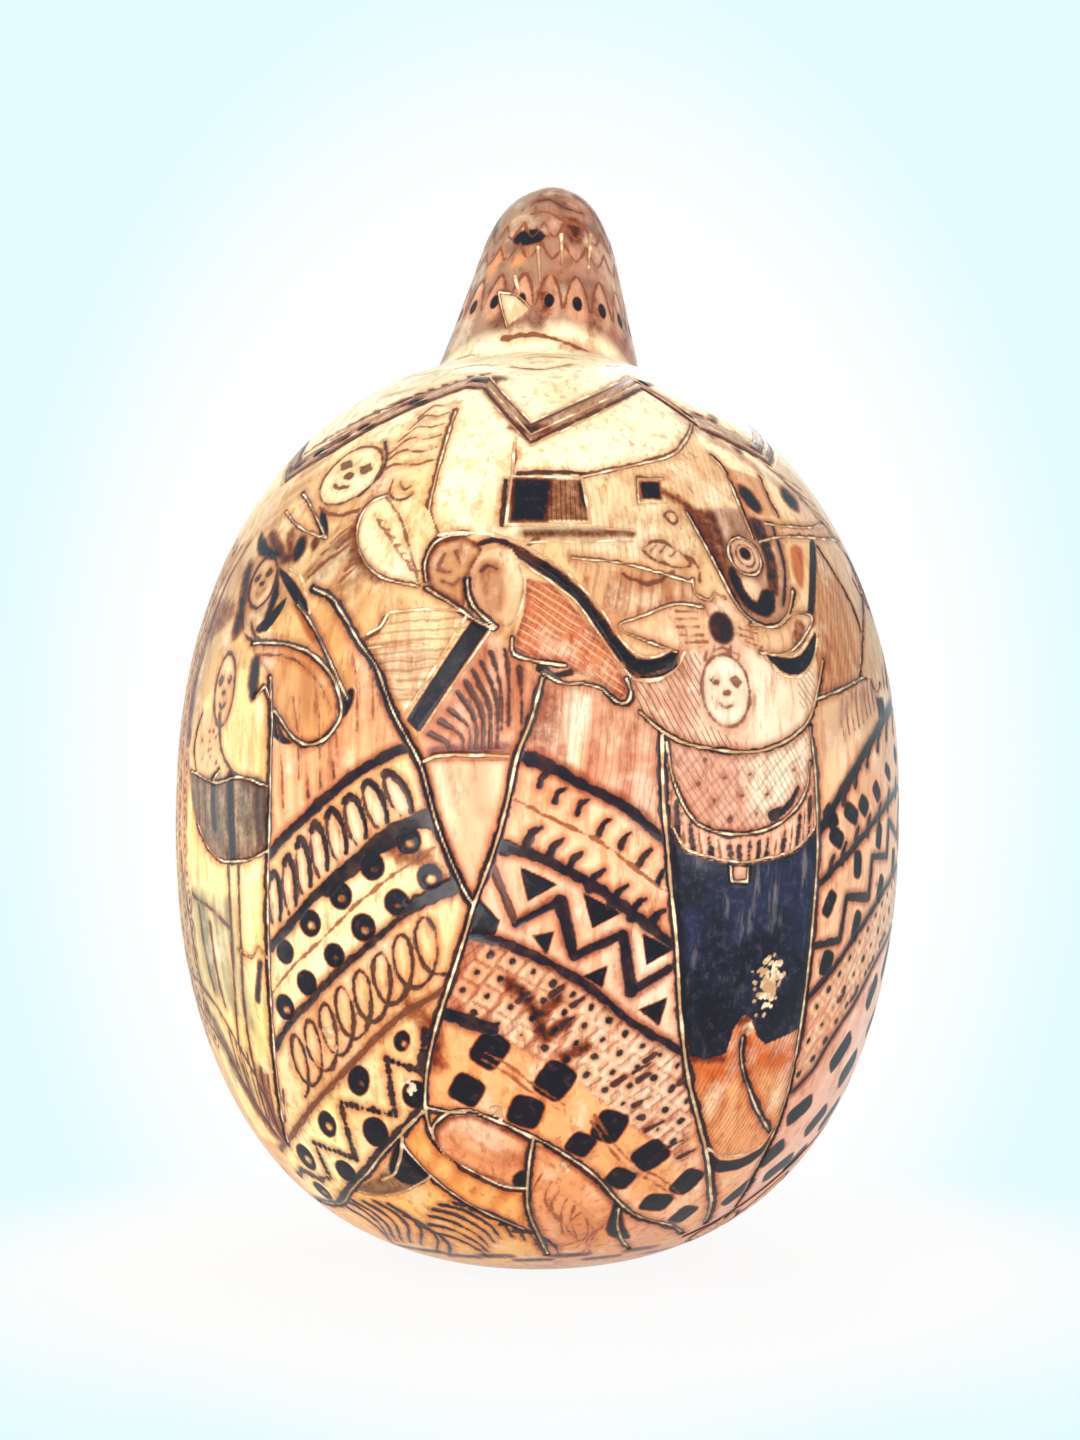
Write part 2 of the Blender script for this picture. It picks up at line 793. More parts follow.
def eyespots(places, size=2.6, tilt=-25.0, stretch=1.0, heart=0.7):
    """Scorched spots with a paler heart."""
    for place in places:
        grown = size * (1.08 + hand.normal(0, 0.07))
        shape = area(disc(place, grown, grown * stretch, tilt))
        if shape:
            scorch(shape, 1.0, 0.7)
            pale = area(disc(shifted(place, 0.2, -0.3), grown * 0.46, grown * 0.38 * stretch, tilt))
            burn[pale["part"]] *= 1 - heart * hand.uniform(0.2, 1.1) * cover(pale, 0.8)


def checks(places, wide=3.4, tall=4.8, tilt=-38.0, heart=0.07):
    """Dark oblongs with rounded corners, some with a paler heart."""
    for place in places:
        turn = math.radians(tilt + hand.normal(0, 8))
        across, up = wide * hand.uniform(0.84, 1.16), tall * hand.uniform(0.84, 1.16)
        corners = []
        for t in np.linspace(0, 2 * math.pi, 20, endpoint=False):
            x = across / 2 * np.sign(math.cos(t)) * abs(math.cos(t)) ** 0.5
            y = up / 2 * np.sign(math.sin(t)) * abs(math.sin(t)) ** 0.5
            right = x * math.cos(turn) - y * math.sin(turn)
            rise = x * math.sin(turn) + y * math.cos(turn)
            corners.append(shifted(place, right, rise))
        shape = area(corners)
        if shape:
            smudge(
                [place, shifted(place, hand.uniform(-1.6, 1.6), hand.uniform(-1, 1))], wide * 0.72,
                0.36,
            )
            scorch(shape, 1.0, 0.8)
            pale = area(disc(shifted(place, -0.2, 0.2), wide * 0.4, tall * 0.35, tilt))
            burn[pale["part"]] *= 1 - heart * hand.uniform(0, 2) * cover(pale, 0.8)


def dotted_net(strip, rows, columns, dark, pale, size=0.72, skew=0.4):
    """Pale cells with a dot in each, in slanting rows, between thin brushed lines."""
    for k in range(rows):
        for i in range(-1, columns + 1):
            ahead = (i + 0.5 + skew * (k - (rows - 1) / 2)) / columns
            if not 0.01 < ahead < 0.99:
                continue
            place = strip.at(ahead, (k + 0.55) / (rows + 0.1))
            ground_tone = dark + (pale - dark) * ahead
            cell_shape = area(disc(place, 2.9, 2.6, 12, 4))
            if not cell_shape:
                continue
            dye(cell_shape, ground_tone * 0.6 + tone(cream) * 0.4)
            for force in (hatch_force, cross_force):
                force[cell_shape["part"]] *= 1 - 0.9 * cover(cell_shape, 0.5)
            stroke(ink, [place, shifted(place, 0.1, 0.1)], size * hand.uniform(0.7, 1.15), 1.0, 1.0)
            if hand.random() < 0.16:
                dab = [shifted(place, 0.9, 0.7), shifted(place, 2.0, 1.5)]
                burnt_line(dab, 0.8, 0.8, 0.7, smooth=False)


# %% [markdown]
# ## The bands at the front
#
# To the left of the middle the bands rise to the right, and in the middle they fall to the
# right, like two woven skirts that meet. Right of the apron they rise again.


# %% Left bands
def left_bands():
    """The skirt left of the middle, from its upper band down to its hem."""
    top = [(-41, 65.4), (-38, 67.3), (-33.3, 69.9), (-27.8, 72.9), (-23.1, 75.1), (-17.6, 77)]
    second = [
        (-41.5, 55.5), (-37, 58), (-32.8, 60.8), (-29, 63), (-25.1, 65.2), (-21.2, 67.4),
        (-14, 70.2),
    ]
    red = [(-42.6, 50.3), (-36.5, 53.8), (-30.5, 57), (-22.9, 61.6), (-13.4, 66.4)]
    third = [
        (-44.5, 43.8), (-40.4, 46.6), (-35.2, 49.3), (-30, 52.4), (-22.5, 56.6), (-16, 60.3),
        (-10, 62.7),
    ]
    fourth = [
        (-58, 29.6), (-50, 32.2), (-45, 34.2), (-38.9, 37.3), (-33.5, 40), (-28.3, 43),
        (-20.5, 47.8), (-13.3, 51),
    ]
    fifth = [
        (-64, 20.3), (-55, 20.5), (-48.6, 21.6), (-42.9, 23.9), (-38.8, 25.6), (-33, 28.2),
        (-28.8, 30.7), (-22, 34.6), (-18.6, 36.9),
    ]
    dyed(
        [*top, (-10, 62), (-14, 49), (-18, 38), *fifth[::-1], (-60, 24), (-46, 42)],
        rgb(253, 220, 160), 1.5, 0.75,
    )
    dyed([*third, *fourth[::-1]], rgb(248, 204, 148), 2.0, 0.7)
    dyed([*second, *third[::-1]], rgb(255, 232, 176), 2.0, 0.7)
    dyed([*fourth[:5], *fifth[::-1][3:]], rgb(255, 234, 164), 4.0, 0.95)
    for line, width, black in (
        (top, 1.15, 0.95), (second, 1.1, 1.0), (third, 0.9, 0.85), (fourth, 0.7, 0.45),
    ):
        smudge(line, 2.0, 0.3)
        burnt_line(line, width, black)
    for line in (
        [(-30, 61.8), (-25, 64.6), (-20, 66.8)], [(-19.5, 68), (-17.2, 68.6), (-13.6, 69.4)],
        [(-17, 60.2), (-13.5, 61.4), (-10, 62.6)],
    ):
        burnt_line(line, 1.7)
    smudge([(-19, 66), (-15, 65), (-12, 62)], 2.6)
    smudge([(-18, 49), (-15.5, 47), (-15, 43)], 2.6)
    burnt_line(red, 0.36, 0.0)
    arches(
        Strip(
            [(-41.5, 56.6), *second[1:-1], (-15, 69.6)],
            [(-41, 64.6), (-38, 66.6), *top[2:-1], (-19.5, 75.8)],
        ), 8,
    )
    eyespots([(-38.6, 55), (-33.3, 58.2), (-27.8, 61.2), (-22.6, 64.3), (-17.3, 67)], tilt=0.0)
    eyespots(
        [(-40.2, 48.7), (-35, 51.6), (-29.5, 54.7), (-24.4, 57.8), (-19.2, 60.5), (-14.4, 63.2)],
        tilt=0.0,
    )
    curls(Strip(fourth[2:], third[1:]), 8)
    step = [
        (-58, 25.6), (-54, 26.9), (-49.7, 25.6), (-45, 26.4), (-43.5, 31.5), (-34.8, 30),
        (-33.2, 37.5), (-23.4, 36.3), (-22.9, 43.1), (-17.7, 41.9), (-16.2, 47),
    ]
    beads(step)
    eyespots([(-28.6, 40.5), (-38, 34.6), (-49, 29.2)], 2.5, -25, 1.45)
    eyespots([(-20, 45.4)], 1.7, -25, 1.4, 0.9)
    eyespots([(-28.1, 34), (-39.1, 27.8), (-19.3, 39.1)], 2.7, -25, 1.3, 0.3)
    eyespots([(-53, 23.4)], 2.3, -25, 1.3)
    burnt_line([(a, s + 0.6) for a, s in fifth], 0.9)
    contour(fifth, 1.3, 0.22, 0.95)


# %% Middle bands
def middle_bands():
    """The skirt between the middle and the apron."""
    top = [(-2.4, 76), (2.3, 74.5), (6.6, 72.5), (10.6, 71), (14.7, 68.6), (17.6, 66.6)]
    seam = [(-3.5, 71.6), (1.5, 69.4), (7.7, 67.1), (12.5, 64.4), (18, 61.3)]
    second = [(-5.3, 66.5), (-0.2, 65.4), (4.4, 63.6), (8.8, 61.6), (14.9, 58.2), (18.8, 55.9)]
    third = [
        (-9.5, 57), (-5.8, 56.6), (-0.3, 54.8), (4.5, 52.8), (9.2, 50.2), (13.6, 47.5),
        (18.4, 45.5), (22, 44),
    ]
    fourth = [(-13.4, 48.6), (-9.4, 47.6), (-6.4, 46.9)]
    fifth = [
        (-18, 37.4), (-13.6, 36.9), (-7.5, 36.2), (-3.2, 34.8), (1.6, 33), (5, 31.4), (10.3, 28.5),
        (15.6, 24.6), (20, 22), (25, 20.2), (33.7, 18.2), (42, 15.5),
    ]
    dyed(
        [*top, (20, 50), (27, 34), (38, 22), (42, 15.5), *fifth[::-1], (-13, 49), (-8.5, 60)],
        rgb(246, 192, 150), 1.5, 0.7,
    )
    dyed([*second, *third[::-1][1:]], rgb(240, 184, 150), 2.0, 0.7)
    dyed([(8, 62), (18, 56), (21, 46), (12, 50)], rgb(250, 218, 190), 5.0, 0.8)
    dyed(
        [*fourth, (6, 42), (14, 37), (22, 32), (29, 25), *fifth[::-1][2:]], rgb(240, 164, 96), 3.0,
        0.75,
    )
    for line, width, black in (
        (top, 1.2, 0.95), (second, 1.15, 1.0), (third, 1.0, 0.9), (fourth, 1.5, 1.0),
    ):
        smudge(line, 2.2, 0.34)
        burnt_line(line, width, black, 0.95)
    burnt_line([(-5, 66.4), (-3, 66)], 2.0, 1.0, 0.7)
    burnt_line([(-1.6, 75.8), (1, 74.9)], 1.6, 1.0, 0.8)
    burnt_line(seam, 0.42, 0.0)
    comb(
        [(1, 73.5), (3, 71.8), (6, 70.5), (8.9, 68.5), (11.7, 67.1), (14.5, 65.3), (17, 63.4)], 0.6,
        0.75, 0.8,
    )
    comb(
        [(-0.4, 67.4), (2.4, 66.1), (5, 64.7), (7.9, 63), (11, 61.3), (13.7, 60), (16.4, 58.8)],
        0.75, 0.95, 1.3, 0.4,
    )
    burnt_line([(-5.8, 64), (-2.8, 58.3)], 0.9, 0.7, smooth=False)
    zig = [(-2.8, 58.3), (3, 60.6), (4.9, 54.9), (11.6, 57.1), (13.1, 50.9), (18.4, 53.4)]
    for k in range(len(zig) - 1):
        burnt_line(zig[k : k + 2], 1.4 if k % 2 else 1.05, 1.0, 0.9, smooth=False)
    smudge(zig, 1.6, 0.35)
    for corners in (
        [(-2.2, 64.2), (2.6, 62.4), (-1.2, 60.7)],
        [(6.1, 61.5), (11.2, 59.4), (7.4, 57.8)],
        [(14.3, 57.2), (18.9, 55.5), (15.1, 53.9)],
        [(-7.8, 61), (-5, 58.6), (-5.6, 57.2), (-9, 56.8)],
    ):
        burnt_spot(corners, 1.0, 0.45)
    for corners in (
        [(-0.6, 57), (2.2, 57.4), (1.3, 55)], [(6.3, 52.7), (9.6, 53.8), (9, 51.4)],
        [(14.4, 49), (18.4, 50.3), (17.6, 47.2)],
    ):
        burnt_spot(corners, 1.0)
    mesh = Strip(
        [
            (-12.6, 48.2), (-8, 47), (-2, 44.6), (5, 41.6), (11, 38), (17, 34.6), (23, 31.8),
            (27.8, 29.4),
        ],
        [(-9.3, 56.6), (-4, 55.8), (2, 53.4), (8.8, 50), (14, 47), (19, 45), (23, 43)],
    )
    ground_shape = dyed([*mesh.line(0), *mesh.line(1)[::-1]], rgb(214, 142, 112), 1.0, 0.8)
    dyed([*mesh.line(0, 0, 0.4), *mesh.line(1, 0, 0.4)[::-1]], rgb(190, 108, 72), 4.0, 0.8)
    hatch(ground_shape, 38, 0.8, 0.5)
    hatch(ground_shape, 98, 1.1, crossed=True)
    dotted_net(mesh, 4, 12, tone(rgb(244, 182, 136)), tone(rgb(255, 228, 204)))
    for line in (
        [(0.2, 48.4), (3, 50.4)], [(1, 46), (4, 47.6)], [(4, 43.8), (7, 45)],
        [(-4, 52), (-1, 50), (1, 46)],
    ):
        smudge(line, 1.5, 0.6)
    for place in ((15.4, 42.3), (16.1, 38.3), (18.9, 35.1), (23.4, 32.5), (26.4, 31)):
        burnt_line(
            [shifted(place, -0.6, -0.4), shifted(place, 1.2, 0.7)], 0.7, 0.8, 0.5, smooth=False,
        )
    checks([(-6.9, 44.5), (2.6, 41), (11.7, 35.3), (19.9, 31.2), (29.7, 26.8)], 3.4, 3.8, -28.0)
    checks(
        [(-10.8, 39.8), (-1.8, 37.2), (7.2, 33), (15.3, 28), (25, 23.6), (34.5, 20.6)], 3.4, 3.4,
        -28.0,
    )
    for line in (
        [(-8.1, 43.4), (-4.2, 41.7), (-1, 39.7), (3.7, 37.3)], [(8.6, 36), (12, 32.6), (16, 29.6)],
        [(20, 28), (25, 26), (29, 24)],
    ):
        for lift in (0, 0.8):
            burnt_line([(a + 0.6 * lift, s + lift) for a, s in line], 0.34, 0.0, 0.6)
    contour(fifth, 1.2, 0.26, 0.95)


# %% Right bands
def right_bands():
    """The skirt right of the apron. It ends level at the side, where its mirror image meets it."""
    top = [(43.4, 68.2), (47.4, 71.8), (53.6, 76.2), (60, 79.9), (67, 82.8), (76, 85), (90, 85.8)]
    second = [
        (44, 62.6), (47.6, 64.6), (51.9, 66.6), (56.5, 68.8), (61.4, 70.8), (68, 73), (77, 75),
        (90, 75.8),
    ]
    third = [(43.5, 49.6), (49, 53), (54, 56.4), (60, 59.8), (67, 62.8), (77, 65.4), (90, 66.4)]
    fourth = [
        (46.4, 38.4), (50, 40.8), (53, 44.6), (58, 48.4), (64, 53), (70, 55.6), (78, 58), (90, 59),
    ]
    hem = [(45, 14.5), (52, 18), (60, 24), (68, 29), (78, 33), (90, 34.4)]
    dyed([*top, *hem[::-1], (47, 30), (43.5, 50)], rgb(244, 194, 156), 1.5, 0.7)
    dyed([*fourth, *hem[::-1]], rgb(240, 184, 164), 3.0, 0.8)
    for line, width in ((top, 1.3), (second, 0.9), (third, 0.8), (fourth, 0.6)):
        smudge(line, 2.0, 0.35)
        burnt_line(line, width, 0.95)
    for place in (
        (46, 70), (47.4, 67.8), (51.4, 70.6), (55.2, 71.6), (60.2, 73.4), (66, 76), (73, 78.4),
        (80, 79.4), (87, 79.8),
    ):
        checks([place], 1.9, 2.8, 60)
    comb(
        [
            (50, 72.6), (53.6, 75), (57.6, 77.4), (62, 79.4), (67, 81), (73, 82.4), (79, 83.2),
            (85, 83.6),
        ], 0.7,
    )
    comb(
        [
            (46.4, 64.6), (49.4, 66), (53, 67.8), (57, 69.4), (61.4, 71), (66, 72.6), (72, 74.4),
            (78, 75.6),
        ], 0.4, taper=0.6,
    )
    zig = [
        (43.6, 55.6), (49.6, 56.2), (50.6, 61.1), (57.6, 61.1), (58.3, 65.6), (65, 66), (66, 70),
        (73, 68.4), (76, 73), (82, 69.6), (90, 73.6),
    ]
    burnt_line(zig, 0.95, smooth=False)
    smudge(zig, 1.6, 0.3)
    checks(
        [
            (53.4, 64.8), (46.2, 60.3), (61, 68.2), (54.2, 57.8), (47, 53.6), (62.4, 62),
            (70, 65.4), (76.6, 68.4),
        ], 2.1, 3.0, -12,
    )
    mesh = Strip([(45.6, 38), *fourth[1:]], [(44.2, 49.4), *third[1:]])
    ground_shape = dyed([*mesh.line(0), *mesh.line(1)[::-1]], rgb(222, 150, 118), 1.0, 0.8)
    hatch(ground_shape, 64, 0.85)
    dotted_net(mesh, 3, 16, tone(rgb(248, 194, 150)), tone(rgb(250, 208, 186)), 0.8, 0.2)
    for row, start in (((58.6, 42.6), (51.3, 35.6)), ((66.4, 40), (61.3, 33.4))):
        checks([row, start], 2.9, 5.2)
    checks(
        [
            (66.6, 49.6), (74, 53.4), (74, 45.6), (49.8, 29.6), (57.2, 26.8), (47.6, 23.6),
            (69.6, 33.6),
        ], 2.7,
    )
    checks([(82, 49), (84, 56), (78, 38.4), (64, 27.6), (86, 44.4), (86.6, 38.4)], 2.7)
    contour([(46.4, 34), (47.9, 27.3), (51.3, 22.4), (55, 18)], 0.7, 0.22, 0.5)
    contour(hem, 1.0, 0.24, 0.95)
    for foot, tip, colour in (
        ((60, 11), (56, 19), orange), ((72, 13), (67, 25), honey), ((84, 14), (80, 29), orange),
    ):
        leaf(foot, tip, 7.0, colour)


# %% [markdown]
# ## The figures
#
# The carver's people, birds and houses are plain traditional ones. Each is built from stained
# areas, scorched rims, hatching and contours, and their faces are the few lines of a doll's.


# %% Small parts that repeat
def doll_face(place, width, height, turn=0.0, colour=ivory, rim=0.8):
    """A round face with two eyes, a nose and a mouth, as on a rag doll."""
    shape = dyed(disc(place, width, height, turn), colour, 0.3, over=True)
    scorch_rim(shape, 0.3, 0.7)
    burnt_line(ring(place, width, height, turn), 0.4, rim)
    scale = scale_at(place[1])
    tilt = math.radians(turn)

    def spot(x, y):
        right, up = x * width / 2, y * height / 2
        across = right * math.cos(tilt) - up * math.sin(tilt)
        return (place[0] + across / scale, place[1] + right * math.sin(tilt) + up * math.cos(tilt))

    for side in (-1, 1):
        lid = [spot(side * 0.62, 0.24), spot(side * 0.42, 0.36), spot(side * 0.2, 0.26)]
        burnt_line(lid, width * 0.06, rim)
        burnt_line(
            [spot(side * 0.46, 0.2), spot(side * 0.36, 0.22)], width * 0.13, rim, smooth=False,
        )
        brush(
            [spot(side * 0.62, -0.1), spot(side * 0.5, -0.3)], rgb(236, 186, 140), width * 0.2, 0.5,
        )
    burnt_line([spot(-0.07, -0.06), spot(0.07, -0.08)], width * 0.13, rim, smooth=False)
    burnt_line([spot(-0.3, -0.4), spot(-0.05, -0.5), spot(0.26, -0.4)], width * 0.06, rim)


def dashes(places, run, rise, width=0.34, black=0.15):
    """Short strokes, one from each place."""
    for place in places:
        burnt_line([place, (place[0] + run, place[1] + rise)], width, black, 0.6, smooth=False)


# %% Leaves
def leaf(foot, tip, width, colour, veins=4):
    """A stained leaf from its foot to its tip, with a middle vein and side veins."""
    across = scale_at((foot[1] + tip[1]) / 2)
    run, rise = (tip[0] - foot[0]) * across, tip[1] - foot[1]
    length = math.hypot(run, rise)
    side_x, side_y = -rise / length / across, run / length

    def spot(share, out):
        bow = width / 2 * out
        return (
            foot[0] + (tip[0] - foot[0]) * share + side_x * bow,
            foot[1] + rise * share + side_y * bow,
        )

    swell = ((0.2, 0.75), (0.5, 1), (0.8, 0.62))
    one_side = [spot(share, out) for share, out in swell]
    other_side = [spot(share, -out) for share, out in swell[::-1]]
    outline = [spot(0, 0), *one_side, spot(1, 0), *other_side]
    shape = dyed(outline, colour, 0.4, smooth=True, over=True)
    scorch_rim(shape, 0.34, 1.5)
    brush([spot(0.2, 0.3), spot(0.8, 0.2)], rgb(252, 206, 140), width * 0.3, 0.9)
    contour([*outline, outline[0]], black=0.8)
    burnt_line([spot(0.02, 0), spot(0.5, 0.06), spot(0.92, 0)], 0.5, 0.7, 0.5)
    for k in range(veins):
        share = 0.2 + 0.6 * k / veins
        for out in (-0.66, 0.66):
            burnt_line([spot(share, 0), spot(share + 0.14, out)], 0.34, 0.5, 0.6, smooth=False)


# %% [markdown]
# ## The house, the bundle and the sash
#
# The house stands highest and lies behind the rest, so it is drawn first. The things in front of
# it wipe their own outline before they are drawn, which saves cutting every line short by hand.


# %% The house
def house():
    """A gabled house under the shoulder, with a dark window."""
    wall = [
        (-16.8, 104), (-15.2, 101.3), (-3, 100.6), (12, 101), (24, 104), (30, 112), (35, 120),
        (30, 126), (14, 120), (0, 113), (-15, 124),
    ]
    dyed(wall, rgb(252, 240, 196), 2.0, 0.9)
    right_wall = dyed(
        [
            (7.9, 108.4), (13, 110), (20, 111.6), (27, 114), (33, 118), (35, 110), (30, 99),
            (14, 98), (2, 98), (8.2, 102),
        ], rgb(232, 198, 150), 1.6, 0.9,
    )
    hatch(right_wall, 88, 0.7, 0.2)
    streaks((10, 98.6), (24, 100), (3, 7), 10, (rgb(210, 164, 116), rgb(246, 218, 170)), 1.4, 0.7)
    streaks((22, 104), (33, 108), (2, 7), 7, (rgb(214, 168, 122), rgb(240, 206, 158)), 1.6, 0.7)
    window_hole = dyed(
        [(-3.9, 108.2), (7.4, 108.3), (7.8, 102.7), (-4.1, 102.5)], rgb(176, 128, 88), 0.3,
        over=True,
    )
    scorch(window_hole, 0.3)
    hatch(window_hole, 90, 0.55, 0.8)
    burnt_spot([(-3.9, 108.2), (2.6, 108.3), (1.2, 102.6), (-4.1, 102.5)], 1.0, 2.6)
    burnt_line([(-3.2, 109), (2, 109.3), (8.6, 109.2)], 0.6, 0.8)
    burnt_line([(-5.1, 108), (-5.3, 102)], 0.6, 0.9)
    burnt_line([(7, 107.6), (7.6, 104.8)], 0.6, smooth=False)
    burin_line([(-4.1, 114), (-4.2, 108.7), (-4.8, 102)], 0.45, 0.9, smooth=False)
    burin_line([(-4.2, 108.7), (7.4, 108.7), (8.2, 102.4), (-4.7, 102.2)], 0.5, smooth=False)
    burnt_line([(-3.9, 115), (-3.8, 112), (-4, 109)], 0.3, 0.3)
    contour(
        [(-17.3, 120.4), (-17, 114), (-17.2, 107.9), (-17.1, 103.8), (-15.3, 101.3)], 0.9, 0.22,
        0.5,
    )
    contour(
        [(7.4, 108.9), (12, 109.9), (18, 111.3), (25.4, 113.4), (31, 117), (36, 121)], 0.9, 0.4,
        0.5,
    )
    brush([(-2, 100.9), (4, 101), (10, 101), (14.5, 101.3)], rgb(150, 108, 80), 1.3)
    smudge([(-1.4, 100.9), (5, 101), (14.4, 101.2)], 1.1, 0.4)
    burnt_line([(0, 100.2), (-2.6, 98.6)], 0.5, 0.4)
    burin_line([(-5, 102), (8, 101.9), (15, 101.7)], 0.4)
    burin_line([(-3, 99.9), (4, 99.9), (14.6, 100.3)])
    burnt_spot([(17.4, 108.4), (20.8, 108.6), (20.4, 106.2), (17.1, 106)], 1.0, 1.1)
    smudge([(20, 107.6), (24, 106), (27, 104)], 1.4)
    contour([(16.4, 105.6), (17.1, 109), (21.6, 109.3)], 0.5, 0.3, 0.6, smooth=False)
    burin_line([(16.4, 105.4), (21.4, 105.8)])
    stone = [(15.6, 99.4), (18.4, 100.4), (21.8, 99.2), (23.2, 97.6), (20, 97.4), (17, 98.2)]
    burnt_line([*stone, stone[0]], 0.35, 0.5)
    dashes([(17, 99), (18.6, 99), (20.2, 98.6)], 0.9, 0.8, 0.35, 0.5)
    burnt_line(
        [(20.2, 103.8), (21.4, 104.6), (22.6, 103.8), (21.6, 102.8), (20.2, 103.8)], 0.35, 0.5,
    )
    contour([(5, 98), (12, 97.5), (18.2, 96.5), (23, 95.6)], 0.6, 0.3, 0.6)
    curtain = dyed(
        [(4.5, 97.6), (18, 96.2), (23.6, 95.6), (24.5, 92), (20, 92.6), (13, 90.8), (9, 91.8)],
        rgb(222, 164, 120), 1.0, 0.8,
    )
    streaks((9, 91.6), (23, 93), (1, 5), 12, (rgb(178, 108, 70), rgb(240, 200, 154)), 1.0)
    hatch(curtain, 80, 1.2)
    burnt_line([(12.5, 96), (16, 95), (20, 96.6)], 0.5, 0.5)


# %% The bundle, the bar and the fan
def bundle():
    """What the left woman carries: a bundle, a stick and a pleated cloth."""
    paper = dyed(
        [
            (-24.4, 88.2), (-24.2, 89.8), (-22.4, 90.4), (-21.4, 92), (-16, 92.2), (-10.3, 91.4),
            (-9.6, 90), (-17.4, 80.6), (-21.6, 84.6),
        ], rgb(244, 206, 150),
    )
    streaks((-23.6, 88), (-18.4, 82), (10, 0.6), 9, (rgb(206, 146, 96), rgb(252, 230, 186)), 1.0)
    hatch(paper, 2, 1.1, 0.45)
    burin_line(
        [(-24.4, 89.6), (-22.4, 90.4), (-21.4, 92), (-16, 92.2), (-11, 91.8)], 0.36, smooth=False,
    )
    burin_line([(-24, 88), (-20, 88.2), (-15, 88)], 0.3, 0.5)
    burnt_line([(-24.6, 89), (-22.8, 89.9), (-21.8, 91.2)], 0.5, 0.6)
    dyed(
        [(-7, 89.3), (-3.4, 87), (-0.4, 84.4), (-1.3, 80.4), (-2.6, 76), (-15, 76), (-15.8, 78.6)],
        rgb(218, 150, 110),
    )
    streaks((-14, 77), (-3, 77), (6, 9), 12, (rgb(196, 112, 76), rgb(236, 176, 134)), 1.2, 0.8)
    brush([(-5.4, 88), (-5.4, 84), (-6.2, 78)], rgb(250, 220, 186), 1.6)
    bends = (
        (-14.4, 78.4, -11.6, 75.9), (-12.9, 79.6, -9.8, 76.3), (-11.8, 80.9, -8.8, 76.6),
        (-10.6, 82.6, -8, 76.6), (-9.6, 83.8, -7.1, 76.6), (-8.6, 85, -6.1, 76.7),
        (-7.5, 86, -5.2, 76.9), (-6.2, 87, -4.7, 78.6), (-4.3, 87.3, -3.7, 79),
        (-2.4, 85.2, -2, 79),
    )
    for start_a, start_s, end_a, end_s in bends:
        middle = (end_a - 0.1 * (end_a - start_a), start_s - 0.45 * (start_s - end_s))
        burnt_line([(start_a, start_s), middle, (end_a, end_s)], 0.62, 0.75, 0.5)
    smudge([(-14, 76.5), (-8, 76.6), (-4, 76.8)], 1.2)
    bar = area([(-9, 90.6), (-6.7, 89.6), (-15.9, 78.5), (-17.6, 79.9)])
    clear(bar)
    scorch(bar, 1.0)
    burin_line([(-10, 91), (-13.7, 85.9), (-17.8, 80.6)], 0.42, smooth=False)
    burin_line([(-6.5, 89.4), (-15.6, 78.4)], 0.25, smooth=False)
    contour([(-15.2, 75.4), (-13.6, 75.9), (-9, 76), (-3.8, 75.8)], 0.5, 0.5)
    knot = [(-15.2, 99.9), (-16.2, 98), (-16.1, 95.9), (-14.8, 94), (-12, 92.8), (-10.3, 91.9)]
    knot_shape = dyed(
        [*knot, (-9.8, 94.9), (-9.2, 97.1), (-8, 99), (-10.7, 100.6), (-13.3, 100.5)],
        rgb(206, 148, 92), 0.4, smooth=True, over=True,
    )
    scorch_rim(knot_shape, 0.55, 1.7)
    for line in (
        [(-13.6, 98.6), (-14.4, 96.8), (-12.6, 96.4)], [(-12, 98.8), (-11.2, 97.4)],
        [(-13.6, 95.4), (-12, 94.8), (-11, 95.6)],
    ):
        burnt_line(line, 0.45, 0.4, 0.8)
    fruit = dyed(
        [
            (-9.9, 94.9), (-9.4, 96.7), (-7.9, 98.8), (-5.9, 99.4), (-3.8, 99), (-2.5, 96.9),
            (-1.8, 95.2), (-2, 93.2), (-2.6, 91), (-3.9, 89.7), (-5.9, 90.2), (-7.9, 91.8),
            (-9.4, 93.5),
        ], rgb(230, 184, 136), 0.3, smooth=True, over=True,
    )
    heart = [
        (-8.6, 95), (-8, 97.4), (-5.6, 97.4), (-4.6, 95), (-4.4, 92.4), (-5.6, 91.2), (-7.4, 92.4),
    ]
    dyed(heart, rgb(190, 128, 84), 1.2, 0.9, smooth=True)
    scorch_rim(fruit, 0.3, 1.2)
    brush([(-4.8, 98.6), (-3.2, 97), (-3, 94)], rgb(248, 220, 176))
    burnt_line([(-8, 96.4), (-7, 97), (-5.8, 96.6)], 0.4, 0.7)
    contour([(-10, 95.4), (-9.8, 94), (-9.1, 92.5), (-7.9, 91.4), (-5.6, 89.8)], 1.1, 0.4, 1.0)
    contour([(-16, 94.6), (-12, 92.6), (-8.8, 90.8), (-6, 89.7)], 0.9, 0.4, 0.8)
    contour(
        [(-16.1, 95.4), (-16.6, 97.6), (-15.6, 100), (-13, 100.9), (-10.6, 101)], 0.9, 0.25, 1.0,
    )
    burnt_line([(-8.6, 99.6), (-6.4, 100.2), (-4.4, 99.8)], 0.7, 0.9)
    burin_line([(-15, 101), (-12.5, 101.2), (-6.8, 100.9), (-2.9, 99.7), (1, 97.8)], 0.45)
    burin_line([(-2.6, 97), (-1.7, 95.2), (-2, 93), (-2.7, 91), (-4, 89.5)])


